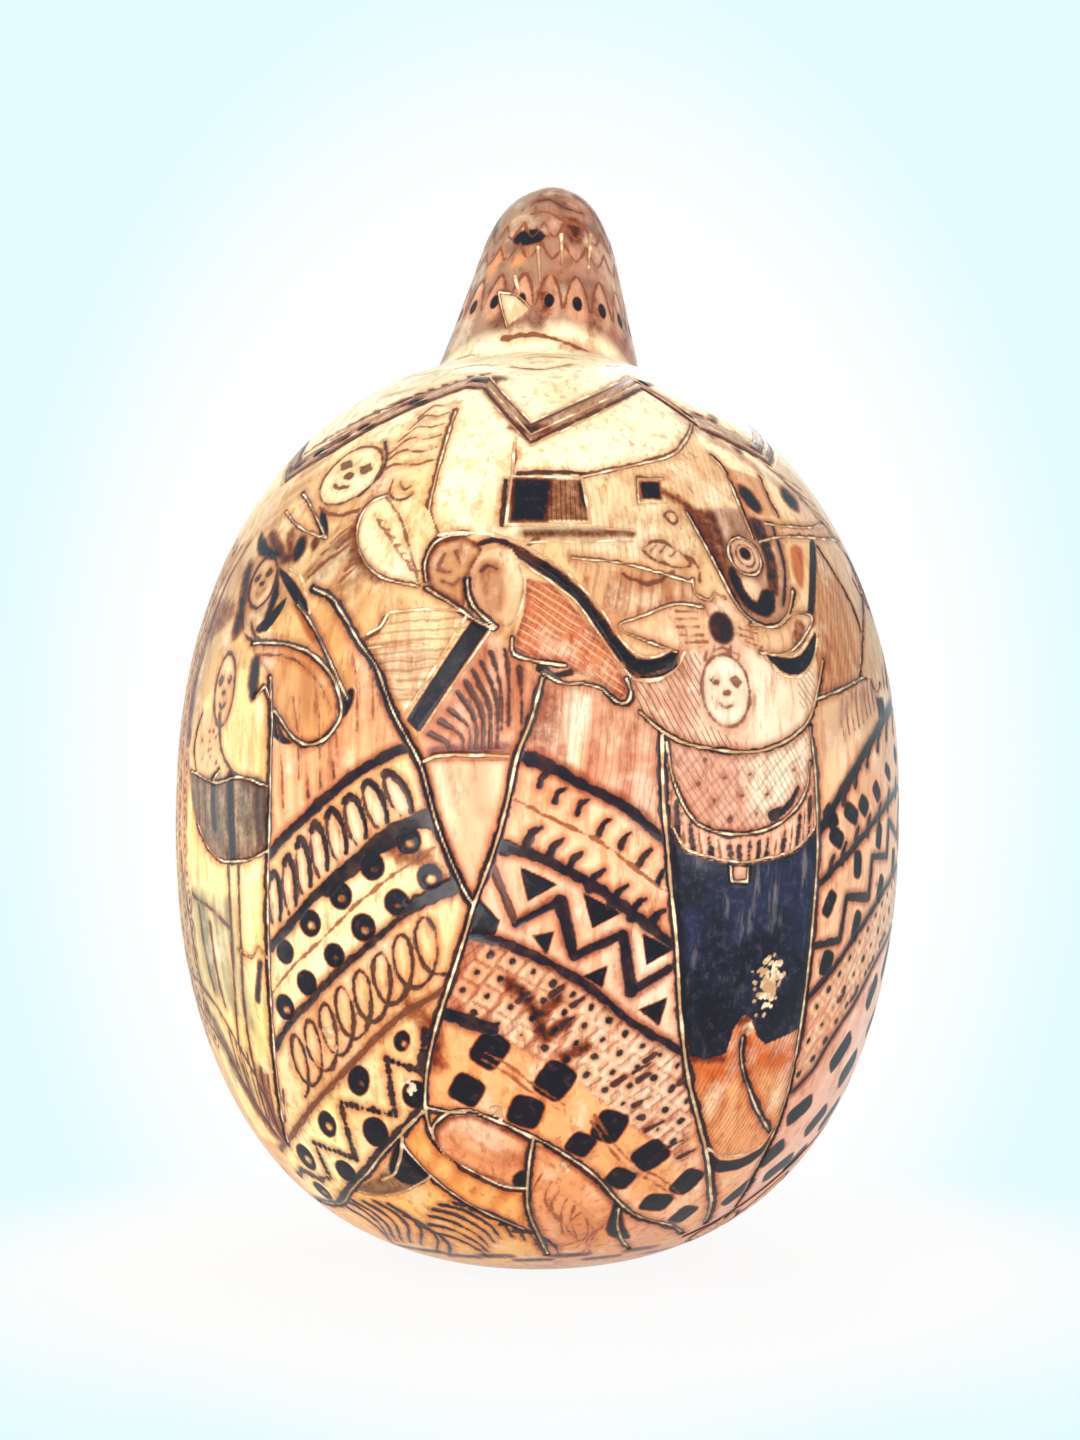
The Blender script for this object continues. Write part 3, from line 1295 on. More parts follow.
# %% The cloth in the middle and the dark sash
def sash():
    """A cross-hatched cloth and the dark sash that hangs over it."""
    cloth = dyed(
        [
            (-1.6, 95.4), (2, 94.7), (4.3, 92.8), (6.6, 90.4), (9.3, 87.5), (11.5, 84.5),
            (12.2, 82.6), (11, 82), (8.7, 83.5), (4.2, 85.1), (0.4, 86.2), (-3.1, 87), (-2.9, 88.7),
            (-2, 91), (-1.6, 93.6),
        ], rgb(206, 112, 70), 0.4,
    )
    streaks((0, 87), (10, 84), (1, 7), 10, (rgb(190, 96, 58), rgb(226, 140, 94)), 1.3, 0.8)
    hatch(cloth, 62, 0.66, 0.4)
    hatch(cloth, -35, 0.8, -0.4, crossed=True)
    scorch_rim(cloth)
    upper = [
        (-7, 100.2), (-3.8, 99.6), (0.4, 97.7), (4.4, 95.3), (8.3, 91.7), (10.9, 88.4),
        (13.4, 86.4), (16.6, 86.4), (20, 88),
    ]
    lower = [
        (19.4, 85.8), (16.6, 84.6), (14, 84.4), (12.4, 85.2), (9.3, 88.7), (5.9, 92.9), (2, 95.5),
        (-1.4, 97.4), (-4, 98.9),
    ]
    band = dyed([*upper, *lower], rgb(150, 108, 84), 0.4, over=True)
    scorch(band, 0.52)
    tip = [
        (8.6, 90.4), (11, 88.2), (13.6, 86.2), (16.6, 86.2), (19.6, 87.6), (18.6, 85.6),
        (14.2, 84.6), (12.4, 85.4), (9.6, 88.4),
    ]
    burnt_spot(tip, 1.0, 0.7)
    smudge([(1, 97), (5, 94), (9, 90)], 0.8, 0.9)
    burnt_line(upper, 0.4)
    burnt_line(lower, 0.45)
    burin_line([(s[0] + 0.3, s[1] + 0.5) for s in upper], 0.36)
    burin_line([(s[0] - 0.2, s[1] - 0.4) for s in lower])
    contour([(-3.4, 88.6), (-3.1, 86.8), (0.4, 85.9), (3.8, 85.6)], 0.8, 0.42, 1.0)
    burnt_line([(0.5, 85.2), (2.2, 84.4), (4.4, 84.8)], 1.0, 1.0, 0.6)
    contour([(0.6, 84.8), (3.4, 83.6), (6, 83.6), (8.8, 83)], 0.7, 0.36)
    contour([(8.8, 83), (10.4, 81.8), (12, 81.6), (12.6, 82.8), (12, 84.2)], 1.0, 0.3, 1.0)


# %% The pale point between the skirts
def skirt_point():
    """The pale plain point where the two skirts meet, and the long seam below it."""
    point = dyed(
        [(-15.4, 75.6), (-3, 75.6), (-4.2, 70), (-6.1, 65), (-8.5, 60.5), (-13.3, 68.5)],
        rgb(226, 170, 124), 0.6, over=True,
    )
    streaks(
        (-13, 75), (-5, 75), (2, -8), 7,
        (rgb(246, 204, 160), rgb(220, 140, 92), rgb(226, 166, 120)), 1.5, 0.8,
    )
    scorch_rim(point, 0.35, 1.3)
    stripes = dyed(
        [
            (-0.6, 83.8), (4, 83.6), (8, 82.6), (12, 81.2), (15, 79.6), (17, 78), (17, 68),
            (12, 71.6), (3, 75.2), (-2.4, 76.6),
        ], rgb(224, 158, 124), 0.8,
    )
    streaks(
        (-2, 76), (16.6, 68.8), (0.8, 9), 20,
        (rgb(190, 112, 84), rgb(240, 186, 150), rgb(214, 140, 108)),
    )
    hatch(stripes, 84, 0.8, 0.28)
    burnt_spot([(-1.8, 81), (1, 83.4), (3.4, 83), (2, 76), (-1.6, 77)], 0.28, 2.0, smooth=True)
    dyed([(5.2, 82.6), (7, 82), (6, 74.4), (3.8, 75.2)], rgb(252, 230, 194), 0.9)
    left_long = [
        (-35.2, 95.6), (-31.4, 94.2), (-28.5, 91.7), (-25.2, 88.3), (-22.6, 85.8), (-20, 81.2),
        (-18, 78.4), (-15.6, 74.9), (-13.3, 68.6), (-9.9, 62), (-8.4, 60.2),
    ]
    contour(left_long, 1.35, 0.26, 1.0)
    right_long = [
        (0.7, 84.2), (-0.8, 79.7), (-2.6, 75.8), (-4.2, 70), (-6.1, 65), (-8.4, 60.3), (-9.9, 56.6),
        (-12.3, 51.6), (-15.2, 45.8), (-17, 41.2), (-18, 37.4), (-17.9, 34.7), (-16.6, 32.1),
        (-13.3, 29.7), (-9.4, 27.9),
    ]
    contour([*right_long, (-6.1, 26.7), (-2.2, 26.4)], 1.3, 0.42)
    smudge(left_long[4:], 1.8, 0.4)


# %% [markdown]
# ## The people and the bird
#
# A figure's clothes are stained areas with a scorched rim and hatching across. The apron is burnt
# nearly black with a navy stain in it, and its worn chips show the pale rind below.


# %% The woman with the apron
# The lower edges of the fringe and of the apron, which more than one part follows
fringe_low = [
    (18, 68.2), (19.9, 65.8), (23.9, 64.9), (28.6, 64.4), (33.6, 65), (38.6, 66), (42.6, 68.4),
]
bottom = [
    (43.8, 46.4), (40, 45.4), (36.4, 44.6), (34.4, 45.6), (32.8, 47.6), (31.2, 48.2), (29.8, 46.6),
    (29.2, 43.8), (26, 43.2), (23.2, 43.6),
]


def bow_and_face():
    """The bow behind her head, her collar and her face."""
    dyed(
        [
            (12, 84), (20, 88.5), (24, 93.5), (30, 93.5), (35, 89), (43, 91), (44, 83.5),
            (39.4, 79.4), (33, 77.2), (25.5, 76.8), (17, 78.4), (13.5, 80.6),
        ], rgb(238, 194, 160), 1.0,
    )
    hatch(
        area([(12.5, 84.5), (18.5, 86), (23, 89), (22.2, 80), (29, 77.2), (22, 77.2), (14, 80.2)]),
        -60, 0.66, 0.7,
    )
    dyed([(12.8, 83.6), (17, 85), (22, 86), (20.6, 78.4), (15, 80)], rgb(206, 134, 96), 2.4, 0.7)
    dyed(
        [(31, 88), (37, 85.4), (43, 86), (42.6, 82.4), (38, 79.6), (31, 78)], rgb(252, 232, 200),
        2.6, smooth=True,
    )
    hatch(area([(40, 86), (43.6, 88), (43.4, 83), (40, 82)]), -50, 0.7, 0.5)
    left_wing = [
        (11.6, 90.6), (16, 91.6), (20, 92.8), (24.6, 92.6), (24.6, 88.6), (19.8, 87.6), (15, 88.4),
    ]
    right_wing = [
        (29, 92.4), (32, 91), (37.3, 91.1), (41.5, 93), (45.5, 93.1), (43.3, 90.9), (40.2, 89),
        (36.6, 88), (33, 88.2), (29.6, 88.8),
    ]
    for outline in (left_wing, right_wing):
        wing = dyed(outline, rgb(240, 196, 150), smooth=True, over=True)
        scorch_rim(wing, 0.28, 0.9)
    burnt_spot(
        [(41.4, 92.6), (43.4, 91.8), (41.6, 89.4), (39.4, 89.2), (40.2, 91)], 0.4, 0.8, smooth=True,
    )
    contour(
        [(19.4, 87.4), (14.6, 88.6), (11.2, 90), (14.5, 91.2), (19.8, 92.9), (24.2, 92.7)], 0.6,
        0.28, 0.7,
    )
    contour(
        [
            (33, 88), (36.6, 87.9), (40.2, 88.9), (43.3, 90.8), (45.8, 93.2), (41.5, 93.2),
            (37.3, 91.3), (32, 91.2),
        ], 0.6, 0.28, 0.7,
    )
    dashes([(19.8, 92), (19.6, 91.1), (19.8, 90.2), (20.2, 89.3), (20.8, 88.5)], 3.4, 0.15)
    dashes([(30, 90.6), (30, 89.8), (30.6, 89.1), (31.4, 90.9)], 3.0, -0.5)
    centre = dyed(disc((26.8, 90.4), 3.3, 3.8), rgb(120, 84, 84), 0.6, over=True)
    scorch(centre, 0.6, 1.0)
    crescent = area(
        [
            (33.9, 88), (37.1, 87.6), (41.3, 88.2), (45.6, 91.2), (43.9, 88), (40.3, 85.9),
            (36.7, 86.1),
        ], smooth=True,
    )
    clear(crescent)
    scorch(crescent, 1.0)
    burin_line([(33.6, 88), (37.2, 87.9), (41, 88.4), (45.8, 91.8)], 0.42)
    burin_line([(34, 87.4), (36.6, 85.8), (40.4, 85.6), (44, 87.6), (46, 90.6)])
    burin_line([(13.6, 84.2), (16.4, 84.3), (19.2, 85.4), (20.6, 87.4)])
    doll_face((26.7, 83.4), 6.2, 8.0, rim=0.35)
    burnt_line([(24.8, 87.4), (26.6, 88.2), (28.8, 87.5)], 0.3, 0.2)
    dashes([(23.6, 86.6), (25, 87.4), (27.6, 87.4), (29, 86.8)], 0.4, 0.9, 0.4, 0.2)


def bib_and_fringe():
    """Her netted bib and the fringe of ties below it."""
    panel_edge = [
        (17.4, 77.6), (18.4, 73.4), (20.7, 69.8), (23.5, 68.3), (28.1, 67.8), (33, 68.4),
        (37.5, 70.1), (40.7, 72.9), (41.6, 76),
    ]
    panel = dyed([*panel_edge, (42, 80.4), (38, 78.4), (33, 77), (25.5, 76.6)], rgb(226, 172, 144))
    dyed(
        [(30, 76.4), (41, 79.4), (41, 75), (37.6, 71.4), (31, 70)], rgb(250, 226, 196), 3.0,
        smooth=True,
    )
    hatch(panel, -55, 0.7, 0.4)
    hatch(panel, 42, 1.5, 0.3, crossed=True)
    for place in (
        (18.9, 75.1), (22.9, 75.6), (25.9, 73.9), (21.9, 73.1), (28.7, 71.9), (24.3, 71.3),
        (33, 72.2), (30.1, 74.3), (26.8, 69.3), (31.2, 70), (38, 75.1), (35.6, 70.8),
    ):
        stroke(ink, [place, shifted(place, 0.1, 0.05)], 0.5, 1.0, 0.5)
    burnt_line([(34, 70), (36.8, 71), (38.8, 73)], 1.3, 1.0, 0.5)
    fringe = dyed(
        [*panel_edge[1:-1], (42.4, 74), *fringe_low[::-1]], rgb(244, 206, 176), 0.4, over=True,
    )
    scorch_rim(fringe, 0.25, 0.8)
    ties = Strip(
        fringe_low,
        [
            (17.8, 74), (18.8, 71.6), (20.9, 69.4), (23.5, 67.9), (28.1, 67.4), (33, 68),
            (37.5, 69.7), (41, 72.6), (42.4, 75),
        ],
    )
    for i in range(19):
        share = (i + 0.5) / 19
        if i % 2 or 7 < i < 11:
            beads([ties.at(share, 0.10), ties.at(share, 0.86)], 0.62)
        else:
            burnt_line([ties.at(share, 0.16), ties.at(share, 0.82)], 0.3, 0.1, 0.8, smooth=False)
    contour(panel_edge, 0.8, 0.22)
    burnt_line(fringe_low, 0.6, 0.9)
    burin_line(
        [
            (18.4, 68.4), (20, 66.3), (24, 65.3), (28.6, 64.9), (33.6, 65.4), (38.6, 66.4),
            (42.4, 68.6),
        ], 0.28,
    )


def dark_apron():
    """The burnt apron with its navy stain, and the tab at its top."""
    apron = dyed(
        [
            (18.2, 65.4), *fringe_low, (43.1, 66), (42.9, 57.6), (43.2, 50.7), *bottom, (20.7, 49),
            (19.3, 56.6),
        ], rgb(84, 84, 116), 0.3, over=True,
    )
    scorch(apron, 0.9, 0.5)
    navy[apron["part"]] = np.maximum(navy[apron["part"]], cover(apron, 2.0))
    low_apron = area([(21, 50), (27, 51), (31, 49), (36, 51), (42.6, 52), *bottom], reach=4)
    navy[low_apron["part"]] *= 1 - cover(low_apron, 6.0)
    scorch(low_apron, 1.0, 1.0)
    streaks((20, 58), (42, 60), (0.6, -9), 12, (rgb(150, 110, 90), rgb(60, 60, 96)), 1.2)
    tab = [(27.1, 64.4), (27.4, 62.7), (30, 62.7), (30, 64.3)]
    clear(area(tab))
    dyed(tab, rgb(226, 184, 156), 0.4)
    contour(tab, 0.6, 0.3, 1.0, smooth=False)


def lining_and_hem():
    """The orange lining under the apron and the dark hem below that."""
    lining = dyed(
        [
            *bottom[::-1], (44.6, 42), (46.2, 36.9), (47.2, 32.6), (45, 31.4), (40, 30), (36, 30),
            (32, 31), (26.7, 37),
        ], rgb(236, 160, 104), 0.4, over=True,
    )
    streaks((25, 40), (44, 42), (1, -7), 12, (rgb(248, 184, 126), rgb(214, 128, 74)), 1.6, 0.8)
    dyed(
        [*bottom, (27, 39.6), (32, 41), (36, 41.6), (43.6, 41)], rgb(206, 96, 32), 3.4, smooth=True,
    )
    hatch(lining, 74, 0.55, 0.45)
    smudge([(24, 43.4), (28.6, 43.2)], 1.2)
    smudge([(31, 47.4), (32, 48)], 1.4)
    hem = area(
        [
            (31.2, 31.2), (35, 29.8), (40, 29.6), (44.8, 31), (46.4, 33.4), (46.8, 31), (44, 28.6),
            (39, 27.8), (34, 28.4),
        ], smooth=True,
    )
    scorch(hem, 1.0, 0.6)
    burin_line([(31.2, 31.6), (35, 30.4), (40, 30.2), (44.6, 31.6), (46, 34)], 0.26)


def apron_edges():
    """The carved edges that hold the whole woman together."""
    left_edge = [
        (16.8, 78.3), (16.9, 72), (17.6, 66.3), (18.2, 62), (19.3, 56.6), (20.7, 49), (23.1, 42),
        (26.5, 36.6), (30.8, 31.6), (36.5, 25.8), (42, 21.5), (47, 17.5),
    ]
    right_edge = [
        (42, 80), (42.8, 74.6), (43.2, 66.8), (42.9, 57.6), (43.2, 50.7), (44.1, 43.8), (46.4, 34),
        (47.9, 27.3), (51.3, 22.4), (55, 18),
    ]
    contour([(31.9, 45.6), (32.3, 43.4), (34.2, 40.6), (38.8, 36.6), (44.8, 33.2)], 1.2, 0.36, 1.0)
    contour(left_edge, 1.5, 0.5, 1.0)
    contour(right_edge, 1.15, 0.42, 0.95)
    yoke = [
        (13.8, 80.6), (16.9, 78.6), (20.3, 77.4), (25.5, 76.8), (30.8, 76.8), (35.6, 77.8),
        (39.4, 79.3), (42.2, 81.2), (44.4, 84.4), (46.6, 88),
    ]
    contour(yoke, 0.85, 0.45, 0.95)
    contour([(43.6, 83.2), (50.3, 84.8), (58.9, 87)], 0.8, 0.36)
    brush([(46, 74), (50, 78), (55, 82)], rgb(250, 208, 160), 4.0, 0.9)


def apron_woman():
    """The woman on the right, from back to front."""
    bow_and_face()
    bib_and_fringe()
    dark_apron()
    lining_and_hem()
    apron_edges()


# %% The man behind the woman
def sleeve():
    """The figure over her right shoulder: a looped scarf, a round eye and a long sleeve."""
    body = dyed(
        [
            (45.2, 93), (46.6, 97), (49, 100.4), (52.4, 103), (55, 101.4), (57.9, 98.5), (61, 94),
            (60, 90), (58.9, 87), (50.3, 84.8), (44.4, 84),
        ], rgb(214, 146, 92), 0.8,
    )
    streaks((46, 86), (59, 88), (-1, 13), 9, (rgb(236, 170, 112), rgb(186, 112, 66)), 2.0, 0.8)
    hatch(body, 68, 0.8, 0.45)
    scorch_rim(body, 0.35, 1.6)
    outer = [
        (24.5, 104.8), (26.3, 100.8), (28.1, 97.1), (29.4, 94.5), (31.3, 92.3), (34.1, 91.2),
        (37.4, 91.4), (40.4, 93.3), (42.3, 96),
    ]
    dyed([*outer, (42.6, 100), (42.6, 104.6), (33, 106)], rgb(190, 142, 108), 0.8)
    streaks(
        (26, 104), (39, 106), (3, -9), 11,
        (rgb(160, 118, 96), rgb(208, 166, 136), rgb(130, 88, 72)), 1.1,
    )
    burnt_spot(
        [
            (24.6, 105.6), (30, 105), (30.4, 98), (31.4, 95), (34, 92.8), (31.6, 92.4),
            (29.4, 94.8), (28, 97.6), (26.2, 101),
        ], 0.45, 1.4,
    )
    burnt_spot(
        [
            (29.4, 97), (30.4, 94.6), (32, 93), (34.8, 92.2), (37, 93), (37.6, 95.4), (35.4, 95.4),
            (33.8, 93.8), (32, 95), (30.6, 98),
        ], 1.0, 1.0, smooth=True,
    )
    burnt_spot(
        [(36.8, 104.6), (39.6, 104.8), (39.8, 99), (38.4, 95), (36.6, 96), (37.4, 100)], 0.62, 1.0,
        smooth=True,
    )
    brush([(32.8, 95.6), (33.4, 95)], rgb(250, 214, 170), 2.6)
    brush([(41.6, 103), (41.6, 99), (39.8, 94.4)], rgb(214, 160, 120), 1.6)
    dyed(
        [(43.3, 102.2), (49.8, 102.9), (45.4, 95.2), (41.6, 94.8), (42.6, 98.4)],
        rgb(246, 204, 148), 0.4,
    )
    dyed(
        [(44.4, 101.6), (47.8, 102), (44.8, 96.6), (43.4, 97.6)], rgb(206, 110, 54), 0.7,
        smooth=True,
    )
    contour(outer, 0.9, 0.4, 1.0)
    burnt_line([(41.9, 104.3), (41.8, 101), (41.3, 98), (39.2, 94)], 0.5, 0.9)
    dyed(disc((33.6, 99.6), 4.6, 4.8), rgb(236, 198, 162), over=True)
    burnt_spot(disc((33.6, 99.8), 1.6), 0.85, 0.7)
    burnt_line(ring((33.6, 99.6), 2.6, 2.8), 0.3, 0.5)
    contour(ring((33.6, 99.6), 4.6, 4.8), 0.7, 0.3, 0.8)
    contour([(37.5, 101.8), (43, 103), (51.2, 103.9), (60, 104.8), (70, 106)], 0.6, 0.4, 0.7)
    contour([(40.4, 104.6), (46, 104.8), (55.3, 105.8), (62, 107.4)], 0.6, 0.4)
    dark = area(
        [(51.4, 103.2), (53.2, 103.4), (49.4, 98.4), (45.6, 93), (44.6, 93.4), (47.8, 98.6)],
        smooth=True,
    )
    scorch(dark, 1.0, 0.7)
    contour([(53.6, 102.6), (57.4, 99), (61.2, 94), (60.6, 90), (59.4, 87)], 0.9, 0.28, 0.8)
    dyed(
        [
            (54, 118), (50, 106), (56, 102), (62, 94), (61, 87), (50, 84), (44, 76), (50, 77),
            (62, 84), (76, 87), (80, 108),
        ], rgb(218, 168, 138), 3.0, 0.6,
    )
    rosy = (rgb(196, 144, 114), rgb(240, 202, 168), rgb(172, 122, 96), rgb(226, 172, 130))
    streaks((48, 78), (66, 86), (2, 7), 14, rosy, 1.2, 0.8)
    streaks((62, 92), (70, 104), (4, 6), 10, rosy, 1.4, 0.8)
    streaks((30, 121), (56, 108), (10, -5), 14, rosy, 1.2, 0.75)
    for k in range(9):
        place = (50 + 1.6 * k, 79 + 0.6 * k)
        burnt_line([place, shifted(place, -0.3, 2.4), shifted(place, 0.2, 4.6)], 0.3, 0.15, 0.4)
    dyed([(35.8, 112.4), (44.6, 111.4), (44.4, 106), (36.6, 105)], rgb(214, 156, 108), 0.6)
    burnt_spot(disc((38.8, 107.8), 2.6, 4.2, 20), 0.85, 1.5)
    contour([(34.4, 114), (35.8, 112), (35.9, 106.6), (36.4, 102.2)], 0.8, 0.26)
    contour([(44.9, 112), (44.2, 108.3), (44.6, 106)], 0.8, 0.26, 0.8)
    burnt_spot(disc((51.2, 109.2), 3.4, 3.6), 0.75, 1.8)
    for k in range(6):
        burnt_line(
            [(47 + 3 * k, 116 - 2 * k), (52 + 4 * k, 113.4 - 2.2 * k), (60 + 3 * k, 112 - 2.2 * k)],
            0.4, 0.5, 0.7,
        )
    for place in ((38, 118), (43, 116), (41, 121)):
        smudge([place, shifted(place, 1.4, 1.2)], 1.5, 0.6)
    for line in (
        [(66, 100), (70, 96), (74, 92)], [(62, 92), (66, 90.4), (70, 90)],
        [(62.4, 88.6), (67, 88), (72, 88.4)],
    ):
        contour(line, 0.7, 0.28, 0.6)
    collar = [(61.6, 92.4), (66, 93), (66.4, 87), (62, 86)]
    contour([*collar, collar[0]], 0.6, 0.4, 0.7)
    burnt_spot([(63, 84.8), (67, 85), (67, 82.6), (63, 82.2)], 0.8, 0.8)
    scallops = [(23.1, 96), (23.4, 94.2), (25.6, 93.6), (26.6, 94.6), (28.2, 93.9)]
    contour(scallops, 0.6, 0.26, 0.5)
    burnt_line([(22.6, 99), (24.4, 97.4), (24.2, 95.6)], 0.4, 0.4)


# %% The leaf at the left shoulder
def shoulder_leaf():
    """A pale leaf, a smiling face and a pennant left of the house."""
    dyed(
        [
            (-72, 80), (-72, 104), (-58, 113), (-40, 112), (-24, 100), (-27, 90), (-40, 98),
            (-54, 92), (-62, 82),
        ], rgb(200, 152, 104), 5.0, 0.55,
    )
    rind_tones = (rgb(200, 152, 100), rgb(246, 218, 166), rgb(220, 174, 120))
    for bottom, top in (
        ((-50, 112), (-46, 120)), ((-44, 99), (-40, 106)), ((-56, 101), (-52, 110)),
    ):
        streaks(
            bottom, top, (8, 3), 6, (rgb(168, 124, 84), rgb(214, 168, 112), rgb(190, 140, 90)), 1.2,
            1.0,
        )
    streaks((-40, 99), (-30, 100), (9, 7), 12, rind_tones, 1.3)
    for k in range(7):
        place = (-38 + 1.8 * k, 97.4 + 1.2 * k)
        smudge([place, shifted(place, 2.6, 1.6), shifted(place, 4.6, 2.2)], 0.9, 0.28)
    for k in range(14):
        place = (-37 + 0.95 * k + hand.uniform(-1, 1), 96.5 + hand.uniform(0, 6) - 0.2 * k)
        line = [place, shifted(place, 1.5, 1.3), shifted(place, 3.4, 2.6)]
        burnt_line(line, hand.uniform(0.3, 0.5), hand.uniform(0, 0.5), 0.4)
        brush(
            [shifted(place, 0.6, -0.6), shifted(place, 4, 1.8)], (cream, rgb(150, 108, 66))[k % 2],
            0.9, 0.9,
        )
    streaks((-34, 104), (-28, 110), (11, 3), 10, rind_tones, 1.2, 0.8)
    streaks((-30, 112), (-26, 121), (11, 1.4), 9, rind_tones, 1.1, 0.8)
    rim = [
        (-25.5, 106.9), (-28.2, 106), (-29.3, 104.2), (-29.2, 102.1), (-28, 99.9), (-25.9, 97.7),
        (-23.3, 96.2), (-20.6, 95.5), (-17.2, 94.8),
    ]
    dyed(
        [*rim, (-16.2, 99), (-15.4, 101.2), (-17, 104.1), (-21, 106.4)], rgb(252, 234, 182), 0.4,
        over=True,
    )
    for k in range(7):
        start = (-26.6 + 1.2 * k, 104.4 - 1.1 * k)
        burnt_line([start, shifted(start, 0.6, -0.9), shifted(start, 1.6, -1.2)], 0.28, 0.2, 0.7)
    smudge([(-30, 103.6), (-29.6, 101), (-27.4, 98.4), (-24, 96.2)], 1.8, 0.4)
    contour(rim, 0.65, 0.36, 0.6)
    burnt_line([(-25.5, 106.9), (-21.3, 102.9), (-18.5, 98), (-17.2, 95.4)], 0.3, 0.35)
    burnt_line([(-24.9, 109), (-24.8, 107), (-22.4, 105.9), (-20.6, 106.6)], 0.4, 0.5)
    burnt_line([(-23.4, 108.6), (-22.4, 107.4), (-21.2, 107.8)], 0.35, 0.5)
    for k in range(6):
        lift = 2.1 * k
        line = [
            (-30 + k, 109 + lift), (-26 + 0.6 * k, 111.4 + lift), (-21, 111 + lift),
            (-18.4, 111.6 + lift),
        ]
        burnt_line(line, 0.4, 0.25, 0.6)
    doll_face((-34.9, 110.9), 8.6, 8.9, -19, rgb(252, 232, 180), 0.5)
    burnt_line([(-30.2, 115.6), (-28, 112.8), (-28.2, 109.6), (-30.8, 107.2)], 0.55, 0.8, 0.9)
    burnt_line([(-39, 106.4), (-34, 104.8), (-30, 105.2)], 0.6, 0.35)
    dyed(
        [(-50, 107.6), (-44, 108.6), (-39.6, 106), (-35.2, 102), (-41, 103), (-48, 105)],
        rgb(236, 192, 134), 0.6,
    )
    contour([(-46, 109.4), (-43.6, 108.2), (-39.4, 105.4), (-35.2, 102)], 0.7, 0.34)
    contour([(-49, 107.2), (-43, 104.4), (-39, 103), (-35.2, 102)], 0.6, 0.3, 0.7)
    burnt_spot(
        [(-38.4, 106.2), (-36.6, 105), (-34.8, 102.4), (-36.6, 102.4)], 1.0, 0.7, smooth=True,
    )
    burnt_spot(disc((-40.4, 101), 2.0, 3.4), 0.85, 1.6)
    smudge([(-44, 103.6), (-42, 100)])
    burnt_spot(disc((-37, 101.4), 1.4, 2.2), 0.6, 1.1)


# %% The bird and the robed figure at the left
def looping_bird():
    """A bird with a looping wing, over a striped skirt."""
    warm = (rgb(222, 150, 104), rgb(250, 208, 154), rgb(204, 128, 84), rgb(242, 190, 140))
    skirt_top = [
        (-39.6, 66.4), (-39.8, 80), (-33, 78), (-28, 80), (-26, 84), (-28.5, 91), (-25, 88),
        (-20, 81), (-17.8, 78), (-24.6, 74.6), (-32, 71),
    ]
    dyed(skirt_top, rgb(236, 180, 128), 0.8)
    streaks((-39.4, 67.5), (-19, 77.6), (-1.4, 11), 20, warm, 1.3)
    for start in ((-37.6, 71), (-34.6, 74), (-31, 76), (-28.2, 76.4), (-25, 79), (-22.6, 80)):
        burnt_line(
            [start, (start[0] - 0.4, start[1] + 5), (start[0] - 1.6, start[1] + 9)], 0.3, 0.1, 0.6,
        )
    for place in ((-30.8, 73), (-28.6, 74), (-33, 72)):
        dashes([place], -0.2, 1.6, 0.5, 0.7)
    dyed(
        [
            (-42, 99.5), (-35, 95.8), (-27, 90.6), (-22.4, 92.4), (-17, 94.6), (-22, 96),
            (-28, 99.4), (-31, 104), (-36, 101.4),
        ], rgb(232, 186, 126), 1.2, 0.8,
    )
    streaks(
        (-38, 97), (-26, 91.4), (6, 6), 12,
        (rgb(198, 142, 88), rgb(252, 224, 166), rgb(222, 170, 110)), 1.3,
    )
    wing = dyed(
        [
            (-47, 90.4), (-39.5, 89.4), (-33.8, 87.9), (-29.6, 85), (-27.8, 81.6), (-28.6, 79.6),
            (-31.4, 77.9), (-35.4, 78.2), (-39.8, 81.4), (-41.4, 85.6), (-44, 87.4),
        ], rgb(226, 160, 98), smooth=True,
    )
    streaks((-40, 81), (-30, 80), (-0.6, 7), 11, (rgb(240, 186, 122), rgb(192, 120, 72)), 1.5, 0.8)
    scorch_rim(wing, 0.4, 1.6)
    dyed(
        [
            (-44.4, 99), (-40, 97.6), (-35.2, 93.4), (-31, 88.6), (-28.4, 84.6), (-30.6, 87.2),
            (-34.4, 89.6), (-38, 93.4), (-41, 96),
        ], rgb(196, 122, 66), smooth=True,
    )
    burnt_spot(
        [(-44.4, 99), (-40.6, 97.4), (-37.6, 95.4), (-35, 92.9), (-37.4, 93.6), (-40.4, 95.8)], 1.0,
        0.5, smooth=True,
    )
    burin_line([(-41.4, 98.6), (-38.6, 97.4), (-36.4, 95), (-35, 92.8)], 0.5)
    contour([(-38, 94), (-34.2, 91.2), (-31, 87.8), (-28.6, 84.8), (-26.8, 82.4)], 0.9, 0.26)
    contour(
        [
            (-46.6, 90), (-39.5, 89.4), (-33.8, 87.9), (-29.6, 85), (-27.8, 81.6), (-28.6, 79.5),
            (-31.4, 77.8), (-35.3, 78.2), (-40, 81.8),
        ], 1.0, 0.42, 1.0,
    )
    burnt_line([(-44, 88.4), (-39.4, 88), (-34.6, 86.4), (-31, 83.8), (-29.4, 81.4)], 0.3, 0.6)
    burnt_spot(
        [(-40.4, 81.6), (-37.6, 78.8), (-36, 78), (-38, 78), (-40.8, 79.8)], 1.0, smooth=True,
    )
    burnt_spot(disc((-26.8, 82), 1.3, 3.4, -20), 0.95, 0.8)


